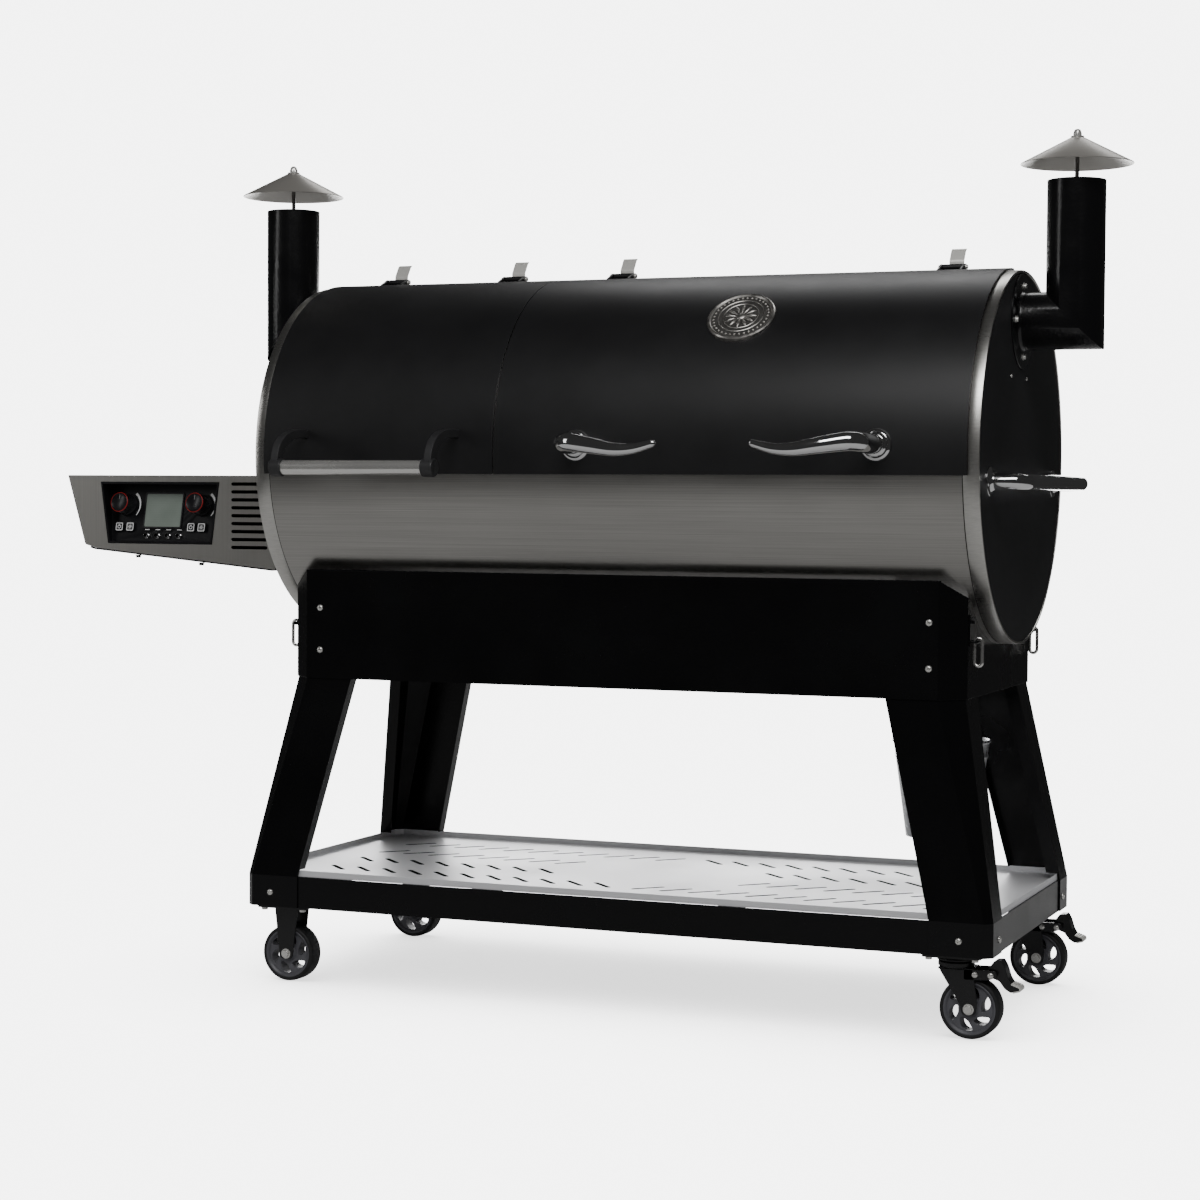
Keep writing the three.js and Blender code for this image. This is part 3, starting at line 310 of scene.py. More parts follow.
LCD = lcd_glass("lcd")


# ---------------------------------------------------------------- shapes
def basis(axis):
    """Two directions square to axis, which with it make a right-handed set."""
    axis = axis.normalized()
    helper = UP if abs(axis.z) < 0.9 else RIGHT
    first = helper.cross(axis).normalized()
    return first, axis.cross(first)


def spoke(u, v, turn):
    """A unit step square to an axis, turned round it; u and v are its basis."""
    return u * math.cos(turn) + v * math.sin(turn)


def skin(bm, loops, closed_loop=False):
    """Faces between loops of points; the two ends are filled unless the loops close on themselves."""
    rings = [[bm.verts.new(p) for p in loop] for loop in loops]
    count = len(rings[0])
    pairs = list(zip(rings, rings[1:])) + ([(rings[-1], rings[0])] if closed_loop else [])
    for a, b in pairs:
        for i in range(count):
            j = (i + 1) % count
            bm.faces.new((a[i], a[j], b[j], b[i]))
    if not closed_loop:
        bm.faces.new(rings[0][::-1])
        bm.faces.new(rings[-1])


def lathe(bm, profile, centre, axis=UP, steps=48, closed=False):
    """Turns (radius, height[, sides]) points round axis; sides makes that ring a polygon."""
    u, v = basis(axis)
    axis = axis.normalized()
    loops = []
    for radius, height, *sides in profile:
        loop = []
        for k in range(steps):
            turn = math.tau * (k + 0.5) / steps
            r = max(radius, 0.01)
            if sides:
                half = math.pi / sides[0]
                r *= math.cos(half) / math.cos(turn % (2 * half) - half)
            loop.append(centre + axis * height + spoke(u, v, turn) * r)
        loops.append(loop)
    skin(bm, loops, closed)


def sweep(bm, path, radius, sides=20, closed=False, squeeze=1.0):
    """A round or oval section carried along points, turned with them; radius may be a list."""
    count = len(path)
    radii = radius if isinstance(radius, list) else [radius] * count
    tangents = []
    for i in range(count):
        before = path[i - 1] if closed or i else path[0]
        after = path[(i + 1) % count] if closed or i + 1 < count else path[-1]
        tangents.append((after - before).normalized())
    side = basis(tangents[0])[0]
    loops = []
    for point, tangent, r in zip(path, tangents, radii):
        side = (side - tangent * side.dot(tangent)).normalized()
        up = tangent.cross(side)
        turns = [math.tau * (k + 0.5) / sides for k in range(sides)]
        loops.append([point + side * r * math.cos(t) + up * r * squeeze * math.sin(t) for t in turns])
    skin(bm, loops, closed)


def prism(bm, outline, place):
    """Fills an outline at two depths; place(u, v, w) gives a point and w is 0 or 1."""
    skin(bm, [[place(u, v, w) for u, v in outline] for w in (0, 1)])


def prism_x(bm, outline, x0, x1):
    prism(bm, outline, lambda y, z, w: Vector((x0 + (x1 - x0) * w, y, z)))


def prism_y(bm, outline, y0, y1):
    prism(bm, outline, lambda x, z, w: Vector((x, y0 + (y1 - y0) * w, z)))


def prism_z(bm, outline, z0, z1):
    prism(bm, outline, lambda x, y, w: Vector((x, y, z0 + (z1 - z0) * w)))


def block(bm, low, high):
    prism_z(bm, [(low[0], low[1]), (high[0], low[1]), (high[0], high[1]), (low[0], high[1])], low[2], high[2])


def smooth_line(points, steps=8, closed=False):
    """Points along a Catmull-Rom curve through the given ones."""
    points = [Vector(p) for p in points]
    count = len(points)
    line = []
    for i in range(count if closed else count - 1):
        if closed:
            a, b, c, d = (points[(i + k) % count] for k in (-1, 0, 1, 2))
        else:
            a, b, c, d = (points[min(max(i + k, 0), count - 1)] for k in (-1, 0, 1, 2))
        for s in range(steps):
            t = s / steps
            line.append(
                0.5 * (2 * b + (c - a) * t + (2 * a - 5 * b + 4 * c - d) * t * t
                       + (3 * b - a - 3 * c + d) * t ** 3)
            )
    return line if closed else line + [points[-1]]


def bend(start, pull, end, steps):
    """Points on the curve that leaves start towards pull and comes to end from it."""
    turns = [s / steps for s in range(steps + 1)]
    return [start * (1 - t) ** 2 + pull * 2 * t * (1 - t) + end * t * t for t in turns]


def turned_corner(a, b, c, radius, steps):
    """Points round the corner at b, between a and c."""
    return bend(b + (a - b).normalized() * radius, b, b + (c - b).normalized() * radius, steps)


def rounded_path(corners, radius, steps=8):
    """A path whose corners are turned with a radius."""
    corners = [Vector(c) for c in corners]
    path = [corners[0]]
    for a, b, c in zip(corners, corners[1:], corners[2:]):
        path += turned_corner(a, b, c, radius, steps)
    return path + [corners[-1]]


def stroke(line, width):
    """A line of (u, v) points given a width, or a list of widths, as a closed outline."""
    widths = width if isinstance(width, list) else [width] * len(line)
    left, right = [], []
    for i, ((u, v), wide) in enumerate(zip(line, widths)):
        before, after = line[max(i - 1, 0)], line[min(i + 1, len(line) - 1)]
        along = Vector((after[0] - before[0], after[1] - before[1])).normalized()
        left.append((u - along.y * wide / 2, v + along.x * wide / 2))
        right.append((u + along.y * wide / 2, v - along.x * wide / 2))
    return left + right[::-1]


def slot_outline(centre, length, width, angle=0.0, steps=5):
    """A slot with round ends."""
    points = []
    for end, start in ((1, -90), (-1, 90)):
        for s in range(steps + 1):
            turn = math.radians(start + 180 * s / steps)
            u = end * (length - width) / 2 + width / 2 * math.cos(turn)
            points.append((u, width / 2 * math.sin(turn)))
    c, s = math.cos(angle), math.sin(angle)
    return [(centre[0] + u * c - v * s, centre[1] + u * s + v * c) for u, v in points]


def circle_outline(centre, radius, steps=24):
    turns = [math.tau * k / steps for k in range(steps)]
    return [(centre[0] + radius * math.cos(t), centre[1] + radius * math.sin(t)) for t in turns]


def rounded_outline(corners, radius, steps=5):
    """A polygon with round corners."""
    corners = [Vector(c) for c in corners]
    points = []
    for a, b, c in zip(corners[-1:] + corners, corners, corners[1:] + corners[:1]):
        points += [(p.x, p.y) for p in turned_corner(a, b, c, radius, steps)]
    return points


def rounded_rect(x0, y0, x1, y1, radius):
    return rounded_outline([(x0, y0), (x1, y0), (x1, y1), (x0, y1)], radius)


def rounded_square(x, y, half, radius):
    return rounded_rect(x - half, y - half, x + half, y + half, radius)


def mirrored(half):
    """A lathe's profile of which half is given, and the rest is its mirror image."""
    return half + [(radius, -height) for radius, height in reversed(half)]


def inside(point, outline):
    """Whether a point lies in a polygon."""
    x, y = point
    hit = False
    for (x0, y0), (x1, y1) in zip(outline, outline[1:] + outline[:1]):
        if (y0 > y) != (y1 > y) and x < (x1 - x0) * (y - y0) / (y1 - y0) + x0:
            hit = not hit
    return hit


def pierced(bm, outline, holes, place):
    """A flat sheet with holes, both faces and its edges; place is as for prism()."""
    loops = [outline, *holes]
    points, edges = [], []
    for loop in loops:
        first = len(points)
        points += [Vector(p) for p in loop]
        edges += [(first + i, first + (i + 1) % len(loop)) for i in range(len(loop))]
    points, _, faces, *_ = delaunay_2d_cdt(points, edges, [], 1, 1e-6)
    layers = [[bm.verts.new(place(p.x, p.y, w)) for p in points] for w in (0, 1)]
    kept = []
    for face in faces:
        centre = sum((points[i] for i in face), Vector((0, 0))) / len(face)
        if not any(inside(centre, hole) for hole in holes):
            kept.append(face)
    rims = {}
    for face in kept:
        bm.faces.new([layers[0][i] for i in reversed(face)])
        bm.faces.new([layers[1][i] for i in face])
        for i, j in zip(face, list(face[1:]) + [face[0]]):
            rims[(i, j)] = rims.get((i, j), 0) + 1
    for i, j in rims:
        if (j, i) not in rims:
            bm.faces.new((layers[0][i], layers[0][j], layers[1][j], layers[1][i]))
    loose = [v for layer in layers for v in layer if not v.link_faces]
    bmesh.ops.delete(bm, geom=loose, context="VERTS")


def arc_plate(bm, r_out, r_in, start, stop, x0, x1, steps):
    """Part of a tube about the barrel's axis, between two angles and two places along it."""
    def spot(r, angle, x):
        turn = math.radians(angle)
        return Vector((x, r * math.cos(turn), BARREL_Z + r * math.sin(turn)))

    angles = [start + (stop - start) * k / steps for k in range(steps + 1)]
    loops = [[spot(r_in, a, x0), spot(r_out, a, x0), spot(r_out, a, x1), spot(r_in, a, x1)] for a in angles]
    skin(bm, loops)


def screw(bm, centre, axis, r=5.5, height=3.2):
    """A pan head with a six-sided socket."""
    lathe(
        bm,
        [(r * 0.96, -0.5), (r, 0.3), (r * 0.92, height * 0.55), (r * 0.66, height * 0.9), (r * 0.5, height),
         (r * 0.42, height, 6), (r * 0.38, height * 0.35, 6), (0, height * 0.3)],
        Vector(centre), axis, 24,
    )


def hex_head(bm, centre, axis, r=7.5, height=5):
    """A hexagon head on its washer."""
    lathe(bm, [(r * 1.25, -0.3), (r * 1.25, 0.8), (r * 0.97, 1), (r, 1, 6), (r, height - 0.6, 6),
               (r * 0.88, height, 12), (0, height)], Vector(centre), axis, 36)


# ---------------------------------------------------------------- pieces
def add_piece(name, bm, material, body, slot=None, replaces=(), bevel=0.0, segments=2, smooth=35):
    """Makes a piece of a drawn shape, in metres, and lets it ride on its body."""
    bmesh.ops.recalc_face_normals(bm, faces=bm.faces)
    mesh = bpy.data.meshes.new(name)
    bm.to_mesh(mesh)
    bm.free()
    mesh.transform(TO_ROW)
    mesh.materials.append(material)
    piece = bpy.data.objects.new(name, mesh)
    bpy.context.scene.collection.objects.link(piece)
    mesh.polygons.foreach_set("use_smooth", [True] * len(mesh.polygons))
    if bevel:
        round_edges(piece, bevel, segments)
    else:
        mesh.set_sharp_from_angle(angle=math.radians(smooth))
    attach(piece, body)
    if replaces:
        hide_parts(*replaces)


def add_turned(name, profile, centre, axis, steps, closed, *finish, **more):
    """A piece that is one lathed shape; what follows closed is as for add_piece()."""
    bm = bmesh.new()
    lathe(bm, profile, centre, axis, steps, closed)
    add_piece(name, bm, *finish, **more)


def round_edges(piece, width, segments=2):
    """Rounds the piece's sharp edges; width is in millimetres."""
    rounder = piece.modifiers.new("edges", "BEVEL")
    rounder.width = width * MM
    rounder.segments = segments
    rounder.limit_method = "ANGLE"
    rounder.angle_limit = math.radians(32)
    rounder.harden_normals = True
    rounder.use_clamp_overlap = True


def dress(node, material, bevel=0.8, smooth=True):
    """Keeps a CAD node, with a finished material and rounded edges; folded sheet isn't smoothed."""
    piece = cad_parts[node]
    piece.data.materials.clear()
    piece.data.materials.append(material)
    piece.data.polygons.foreach_set("use_smooth", [smooth] * len(piece.data.polygons))
    weld = piece.modifiers.new("weld", "WELD")
    weld.merge_threshold = 0.00002
    round_edges(piece, bevel)


ROOT = "cart_and_barrel"
ENDS = (("left", -1), ("right", 1))
ROWS = ("front", "rear")


def make_drum():
    """The barrel's sheet with its two door openings, and the post between them."""
    bm = bmesh.new()
    door_top = math.degrees(math.acos(-20 / BARREL_R))
    door_foot = FRONT + math.degrees(math.asin(12 / BARREL_R))
    inner = BARREL_R - BARREL_WALL
    end = BARREL_HALF - BAND - 1.2
    arc_plate(bm, BARREL_R, inner, door_foot, FULL + door_top, -end, end, 90)
    posts = ((-end, -DOOR_END), (SEAM_LEFT - DOOR_POST, SEAM_RIGHT + DOOR_POST), (DOOR_END, end))
    for x0, x1 in posts:
        arc_plate(bm, BARREL_R, inner, door_top, door_foot, x0, x1, 30)
    add_piece("barrel_drum", bm, BARREL_STEEL, ROOT, "stainless", ["barrel_shell"], smooth=40)


def make_rim_bands():
    """A bright band rolled over each end of the barrel, with a thin black ring beside it as painted shade of
    the groove between band and drum.
    """
    for end, side in ENDS:
        inner, outer = BARREL_HALF - BAND, BARREL_HALF
        r = BARREL_R
        add_turned(
            f"rim_band_{end}",
            [(r - 2.5, inner), (r - 0.8, inner), (r - 0.1, inner + 0.7), (r - 0.1, outer - 2),
             (r - 0.6, outer - 0.4), (r - 2, outer), (r - 4.5, outer - 0.3), (r - 5, outer - 1.6),
             (r - 2.5, outer - 1.9)],
            BARREL_CENTRE, RIGHT * side, 160, True, BAND_STEEL, ROOT, "stainless", smooth=50,
        )
        # a black ring in the seam between band and drum, put there as painted shade of the groove
        add_turned(
            f"rim_groove_shade_{end}",
            [(r - 2.8, inner - 1.4), (r - 0.4, inner - 1.4), (r - 0.4, inner + 0.2), (r - 2.8, inner + 0.2)],
            BARREL_CENTRE, RIGHT * side, 120, True, GROOVE_SHADE, ROOT,
        )


BRACKET_Y, BRACKET_Z = (-95, 25), 1124
DRAIN_X, DRAIN_FOOT = 515, 566
PEG_Z, PEG_REACH = 588, 40


def make_end_panels():
    """A flat coated disc closes each end; two small fasteners hold the probe bracket inside it."""
    for end, side in ENDS:
        face = BARREL_HALF - 2
        r = BARREL_R - BARREL_WALL - 0.5
        add_turned(
            f"end_disc_{end}",
            [(0, face - 2.5), (r, face - 2.5), (r, face - 0.4), (r - 3, face - 0.2), (r - 9, face - 0.2),
             (r - 12, face), (0, face)],
            BARREL_CENTRE, RIGHT * side, 128, False, END_COAT, ROOT, "end_coat", [f"end_panel_{end}"],
        )
        bm = bmesh.new()
        for y in BRACKET_Y:
            screw(bm, (side * face, y, BRACKET_Z), RIGHT * side, 3.2, 2)
        add_piece(f"end_disc_screws_{end}", bm, FASTENER, ROOT, "polished")


def make_drain():
    """The pipe that lets fat out under the barrel, with the peg that the bucket hangs on."""
    bm = bmesh.new()
    foot, top = DRAIN_FOOT, BARREL_Z - BARREL_R + 1
    lathe(
        bm,
        [(10, foot), (12.4, foot), (13, foot + 0.8), (13, top - 8), (15, top - 3), (22, top + 0.6),
         (10, top + 0.6)],
        Vector((DRAIN_X, 0, 0)), UP, 40, closed=True,
    )
    peg = [(DRAIN_X + 12, 0, PEG_Z), (DRAIN_X + PEG_REACH, 0, PEG_Z), (DRAIN_X + PEG_REACH, 0, PEG_Z + 14)]
    sweep(bm, rounded_path(peg, 7), 3.4, 16)
    add_piece("drain_pipe", bm, BARREL_STEEL, ROOT, "stainless")


# ---------------------------------------------------------------- lids
HINGE_HALF = 18
HINGE_Y = 4
HINGE_Z = BARREL_Z + BARREL_R + 10
HINGE_X = [middle(f"lid_hinge_{i}").x for i in (1, 2, 3, 4)]


def make_lids():
    """Each lid is a rolled sheet with two lugs at each hinge."""
    crown = CROWN + math.degrees(math.asin(2 / LID_R))
    foot = FRONT + math.degrees(math.asin(LID_FOOT / LID_R))
    spans = {
        "lid_left": (-LID_END, SEAM_LEFT, HINGE_X[:2]),
        "lid_right": (SEAM_RIGHT, LID_END, HINGE_X[2:]),
    }
    for name, (x0, x1, hinges) in spans.items():
        bm = bmesh.new()
        arc_plate(bm, LID_R, LID_R - BARREL_WALL, crown, foot, x0, x1, 64)
        for x in hinges:
            for lug in (x - HINGE_HALF - 4.5, x + HINGE_HALF + 0.5):
                y, z, top = HINGE_Y, HINGE_Z, BARREL_Z + LID_R
                arm = [(y + 5.5, z + 2), (y + 3, z + 5.2), (y - 2, z + 5.6), (-26, top), (-26, top - 2),
                       (-4, top - 1), (y - 2, z - 5.2), (y + 3, z - 5.2), (y + 5.5, z - 2)]
                prism_x(bm, arm, lug, lug + 4)
        add_piece(f"{name}_sheet", bm, LID_COAT, name, "lid_coat", [name], bevel=0.7)


def make_hinges():
    """Each hinge has a black knuckle on its pad, a bright pin and the bent tab that stops the open lid."""
    for i, x in enumerate(HINGE_X):
        bm = bmesh.new()
        lathe(
            bm,
            [(3.1, 0), (5, 0), (5.5, 0.5), (5.5, 2 * HINGE_HALF - 0.5), (5, 2 * HINGE_HALF),
             (3.1, 2 * HINGE_HALF)],
            Vector((x - HINGE_HALF, HINGE_Y, HINGE_Z)), RIGHT, 32, closed=True,
        )
        base = BARREL_Z + BARREL_R
        pad = [(0.5, base + 0.3), (0.5, HINGE_Z - 4.5), (HINGE_Y + 4, HINGE_Z - 3), (HINGE_Y + 18, base + 3),
               (HINGE_Y + 18, base - 1)]
        prism_x(bm, pad, x - HINGE_HALF, x + HINGE_HALF)
        add_piece(f"hinge_knuckle_{i + 1}", bm, LID_COAT, ROOT, "lid_coat", [f"lid_hinge_{i + 1}"], bevel=0.5)
        bm = bmesh.new()
        pin_end = HINGE_HALF + 8
        sweep(bm, [Vector((x + s * pin_end, HINGE_Y, HINGE_Z)) for s in (-1, 1)], 3, 20)
        for s in (-1, 1):
            centre = Vector((x + s * (HINGE_HALF + 5), HINGE_Y, HINGE_Z))
            hex_head(bm, centre, RIGHT * s, 4.4, 3.6)
        add_piece(f"hinge_pin_{i + 1}", bm, FASTENER, ROOT, "polished")
        bm = bmesh.new()
        y, z = HINGE_Y + 8, HINGE_Z
        line = rounded_path([(y, z - 7, 0), (y, z + 12, 0), (y + 14, z + 32, 0), (y + 19, z + 34, 0)], 3, 5)
        prism_x(bm, stroke([(p.x, p.y) for p in line], 2), x - 9, x + 18)
        add_piece(f"hinge_stop_{i + 1}", bm, PLATE_STEEL, ROOT, "stainless", bevel=0.35)


BAR_Y, BAR_Z = -436, 959
BAR_LEFT, BAR_RIGHT = -576.5, -272.5
ARM_HALF = 7
ARM_THIN, ARM_DEEP = 14, 22  # an arm's depth at the lid and at the bar


def make_bar_handle():
    """A brushed bar between two matt arms that curve down from the lid."""
    bm = bmesh.new()
    length = BAR_RIGHT - BAR_LEFT - 16
    lathe(
        bm, [(0, 0), (12.4, 0), (13, 0.6), (13, length - 0.6), (12.4, length), (0, length)],
        Vector((BAR_LEFT + 8, BAR_Y, BAR_Z)), RIGHT, 48,
    )
    add_piece("handle_bar", bm, BAR_STEEL, "lid_left", "stainless", ["lid_left_bar_handle"])
    start, pull, end = Vector((-316, 1021)), Vector((BAR_Y - 6, 1028)), Vector((BAR_Y, BAR_Z + 2))
    line = [tuple(point) for point in bend(start, pull, end, 16)]
    for end_name, x, lean in (("left", BAR_LEFT, 1), ("right", BAR_RIGHT, -1)):
        bm = bmesh.new()
        depths = [ARM_THIN + (ARM_DEEP - ARM_THIN) * s / (len(line) - 1) for s in range(len(line))]
        prism_x(bm, stroke(line, depths), x - ARM_HALF, x + ARM_HALF)
        collar = [(0, 0), (14.6, 0), (16.3, 2), (16.3, 22), (15, 24), (0, 24)]
        lathe(bm, collar, Vector((x - 10.5 * lean, BAR_Y, BAR_Z)), RIGHT * lean, 48)
        add_piece(
            f"handle_arm_{end_name}", bm, MATTE_PLASTIC, "lid_left", "plastic_black", bevel=3, segments=4
        )


HORN_MIDDLE, HORN_ROOT, HORN_Z = 233, 272, 1000


def make_horns():
    """Two polished handles that leave their rosettes, turn along the lid and thin to a blunt tip."""
    spine = [(272, -326, 0), (272, -352, 0.5), (271, -378, 1), (266, -404, 3), (255, -417, 4),
             (240, -424.5, 3), (200, -433, -3), (160, -437, -9), (125, -438, -8), (92, -437, 0),
             (89, -437, 1)]
    radii = [17, 17, 17, 16.8, 16.6, 16.3, 14.3, 11.8, 9.2, 6.9, 6.5]
    for end, side in ENDS:
        centre = Vector((HORN_MIDDLE + side * HORN_ROOT, -325, HORN_Z))
        path = smooth_line([(HORN_MIDDLE + side * out, y, HORN_Z + up) for out, y, up in spine], 6)
        sizes = [v.x for v in smooth_line([(r, 0, 0) for r in radii], 6)]
        tip, last = path[-1], sizes[-1]
        along = (path[-1] - path[-2]).normalized()
        for k in range(1, 7):
            turn = math.pi / 2 * k / 6
            path.append(tip + along * last * math.sin(turn))
            sizes.append(max(last * math.cos(turn), 0.05))
        bm = bmesh.new()
        sweep(bm, path, sizes, 32)
        add_piece(f"horn_{end}", bm, CHROME, "lid_right", "polished", [f"horn_handle_{end}"], smooth=70)
        add_turned(
            f"horn_rosette_{end}",
            [(0, 0), (28, 0), (28, 9), (26.5, 13), (23, 15), (21.5, 14), (20.5, 15.5), (18.5, 19), (16, 20),
             (0, 20)],
            centre, FORWARD, 64, False, CHROME, "lid_right", "polished", smooth=50,
        )


MEDAL_X, MEDAL_ANGLE, MEDAL_R, MEDAL_SINK = 230.7, 46.3, 61, 4.5


def seat_on_lid(bm, centre, out):
    """Bends a casting's flat back to the lid's curve."""
    down_lid = out.cross(RIGHT)
    for vert in bm.verts:
        offset = vert.co - centre
        if offset.dot(out) < 0.1:
            reach = offset.dot(down_lid)
            vert.co += out * (math.sqrt((LID_R - 0.4) ** 2 - reach ** 2) - (LID_R - MEDAL_SINK))


def make_medallion():
    """A plain cast medallion: a raised rim, a ring of beads and a domed middle on a dark ground."""
    turn = math.radians(MEDAL_ANGLE)
    out = Vector((0, -math.cos(turn), math.sin(turn)))
    centre = Vector((MEDAL_X, 0, BARREL_Z)) + out * (LID_R - MEDAL_SINK)
    bm = bmesh.new()
    lathe(
        bm,
        [(0, 0), (MEDAL_R / 3, 0), (MEDAL_R * 0.7, 0), (MEDAL_R, 0), (MEDAL_R, 6.5),
         (MEDAL_R - 2, 8.6), (MEDAL_R - 5, 8.6), (MEDAL_R - 7, 6.8), (MEDAL_R - 7.5, 6.2), (0, 6.2)],
        centre, out, 96,
    )
    seat_on_lid(bm, centre, out)
    add_piece("medallion_base", bm, PEWTER, "lid_right", "polished", smooth=40)
    ground = [(0, 5.9), (MEDAL_R - 7.8, 5.9), (MEDAL_R - 7.8, 6.5), (0, 6.5)]
    add_turned("medallion_ground", ground, centre, out, 72, False, PEWTER_DARK, "lid_right")
    make_relief(centre, out)


def make_relief(centre, out):
    """A ring of beads, two rims and twelve leaves round a dome."""
    bm = bmesh.new()
    u, v = basis(out)
    beads = 36
    for k in range(beads):
        angle = math.tau * k / beads
        spot = centre + spoke(u, v, angle) * (MEDAL_R - 12)
        lathe(bm, [(2.2, 6.2), (2, 7.2), (1.3, 7.9), (0, 8.2)], spot, out, 12)
    for radius in (42, 33):
        lathe(bm, [(radius, 6.2), (radius, 7.4), (radius - 1, 7.9), (radius - 2, 7.4), (radius - 2, 6.2)],
              centre, out, 72, closed=True)
    leaves = 12
    for k in range(leaves):
        angle = math.tau * k / leaves
        across = spoke(u, v, angle)
        along = [centre + across * r + out * 6.6 for r in (9, 14, 20, 26, 29)]
        sweep(bm, along, [0.5, 2.2, 3.2, 2, 0.4], 12)
    lathe(bm, [(9, 6.2), (8.5, 7.4), (6, 8.6), (0, 9.2)], centre, out, 36)
    add_piece("medallion_relief", bm, PEWTER, "lid_right", "polished", smooth=50)


# ---------------------------------------------------------------- flues, caps and side handle
STACK_R, STACK_WALL = 50.8, 2
STACK_X, STACK_Y, STACK_Z = 772.7, -17.5, 1223
STACK_TOP = box_mm("stack_pipe_right")[1].z
CAP_RIM, CAP_APEX, CAP_TOP, CAP_R = 1494.4, 1547, 1556, 97.9


def stack_loops(side, r):
    """Rings of the pipe: at the barrel, at the mitre and round its open top."""
    turns = [math.tau * k / 64 for k in range(64)]
    start = BARREL_HALF - 1
    rows = []
    for spot in ("start", "mitre", "top"):
        loop = []
        for t in turns:
            c, s = r * math.cos(t), r * math.sin(t)
            x, z = {"start": (start, STACK_Z + c), "mitre": (STACK_X - c, STACK_Z + c),
                    "top": (STACK_X - c, STACK_TOP)}[spot]
            loop.append(Vector((side * x, STACK_Y + s, z)))
        rows.append(loop)
    return rows


def make_stacks():
    """A mitred pipe, its bolted flange and the strap that holds the cap's thread."""
    for end, side in ENDS:
        bm = bmesh.new()
        outer = stack_loops(side, STACK_R)
        inner = stack_loops(side, STACK_R - STACK_WALL)
        skin(bm, [*outer, *inner[::-1]], closed_loop=True)
        add_piece(f"flue_{end}", bm, HAMMER_COAT, ROOT, "lid_coat", [f"stack_pipe_{end}"], bevel=0.5)
        face = BARREL_HALF - 2
        centre = Vector((0, STACK_Y, STACK_Z))
        add_turned(
            f"flue_flange_{end}",
            [(STACK_R + 0.2, face + 0.3), (84, face + 0.3), (84, face + 2.2), (83, face + 3.2),
             (54, face + 3.2), (52.4, face + 4.5), (STACK_R + 0.2, face + 9)],
            centre, RIGHT * side, 72, True, HAMMER_COAT, ROOT, "lid_coat", smooth=40,
        )
        bm = bmesh.new()
        for k in range(4):
            turn = math.pi / 2 * k
            spot = centre + Vector((side * (face + 3.2), 62 * math.cos(turn), 62 * math.sin(turn)))
            hex_head(bm, spot, RIGHT * side, 5, 4.5)
        add_piece(f"flue_screws_{end}", bm, FASTENER, ROOT, "polished")
        bm = bmesh.new()
        x, level = side * STACK_X, STACK_TOP - 8
        block(bm, (x - 8, STACK_Y - STACK_R + 1.5, level - 2), (x + 8, STACK_Y + STACK_R - 1.5, level + 1))
        add_piece(f"flue_strap_{end}", bm, DARK_STEEL, ROOT, "lid_coat", bevel=0.5)


def make_caps():
    """A thin cone with a rolled rim, an acorn nut and the threaded rod that carries it."""
    for end, side in ENDS:
        centre = Vector((side * STACK_X, STACK_Y, 0))
        body = f"stack_cap_{end}"
        row_centre = TO_ROW @ centre
        steel = turned_metal(f"cap_steel_{end}", (0.34, 0.325, 0.3), row_centre, 0.34, Metallic=0.6)
        add_turned(
            f"cap_cone_{end}",
            [(8, CAP_APEX - 6.2), (CAP_R - 2, CAP_RIM + 0.2), (CAP_R - 0.6, CAP_RIM), (CAP_R, CAP_RIM + 0.8),
             (CAP_R - 0.8, CAP_RIM + 1.8), (8, CAP_APEX - 4.4)],
            centre, UP, 96, True, steel, body, "stainless", [f"stack_cap_{end}"], smooth=60,
        )
        bm = bmesh.new()
        base = CAP_APEX - 5
        lathe(
            bm,
            [(0, base - 1), (11.5, base - 1), (11.5, base + 1), (8, base + 1.2), (8, base + 1.2, 6),
             (8, base + 6, 6), (6.9, base + 7), (6.4, base + 9.4), (5, base + 12), (2.8, base + 13.4),
             (0, CAP_TOP - 0.2)],
            centre, UP, 36,
        )
        lathe(bm, [(0, base - 9), (8, base - 9, 6), (8, base - 2, 6), (0, base - 1.8)], centre, UP, 36)
        add_piece(f"cap_nut_{end}", bm, FASTENER, body, "polished", smooth=30)
        thread = []
        pitch, bottom = 2.5, 1405
        for k in range(int((base - bottom - 2) / pitch)):
            low = bottom + k * pitch
            thread += [(3.4, low), (3.9, low + pitch * 0.35), (3.9, low + pitch * 0.65)]
        rod = [(0, bottom), *thread, (0, base - 2)]
        add_turned(f"cap_rod_{end}", rod, centre, UP, 16, False, DARK_STEEL, body, "stainless", smooth=60)


def make_side_handle():
    """A polished grab rail on the right end, bent out from two dished flanges."""
    face = BARREL_HALF - 1.7
    x, y, z = BARREL_HALF + 57, 250, 940
    path = rounded_path([(face, -y, z), (x, -y, z), (x, y, z), (face, y, z)], 32, 14)
    bm = bmesh.new()
    sweep(bm, path, 13.8, 32)
    add_piece("grab_rail", bm, CHROME, ROOT, "polished", ["side_handle"], smooth=60)
    bm = bmesh.new()
    for at in (-y, y):
        lathe(
            bm, [(0, 0), (25, 0), (25, 1.8), (23.5, 3), (19, 3.6), (16, 6), (14.6, 10), (0, 10)],
            Vector((face, at, z)), RIGHT, 48,
        )
    add_piece("grab_rail_flanges", bm, CHROME, ROOT, "polished", smooth=45)


# ---------------------------------------------------------------- cart
APRON_Y = 277
CART_X, CART_Y = 708.2, 314.4
RAIL_BOTTOM = 144


def dress_cart():
    for side in ("front", "rear", "left", "right"):
        dress(f"apron_{side}", GLOSS_COAT, 0.6, smooth=False)
    for row in ROWS:
        for end in ("left", "right"):
            dress(f"leg_{row}_{end}", GLOSS_COAT, 0.7, smooth=False)
    dress("shelf_frame", GLOSS_COAT, 0.8, smooth=False)


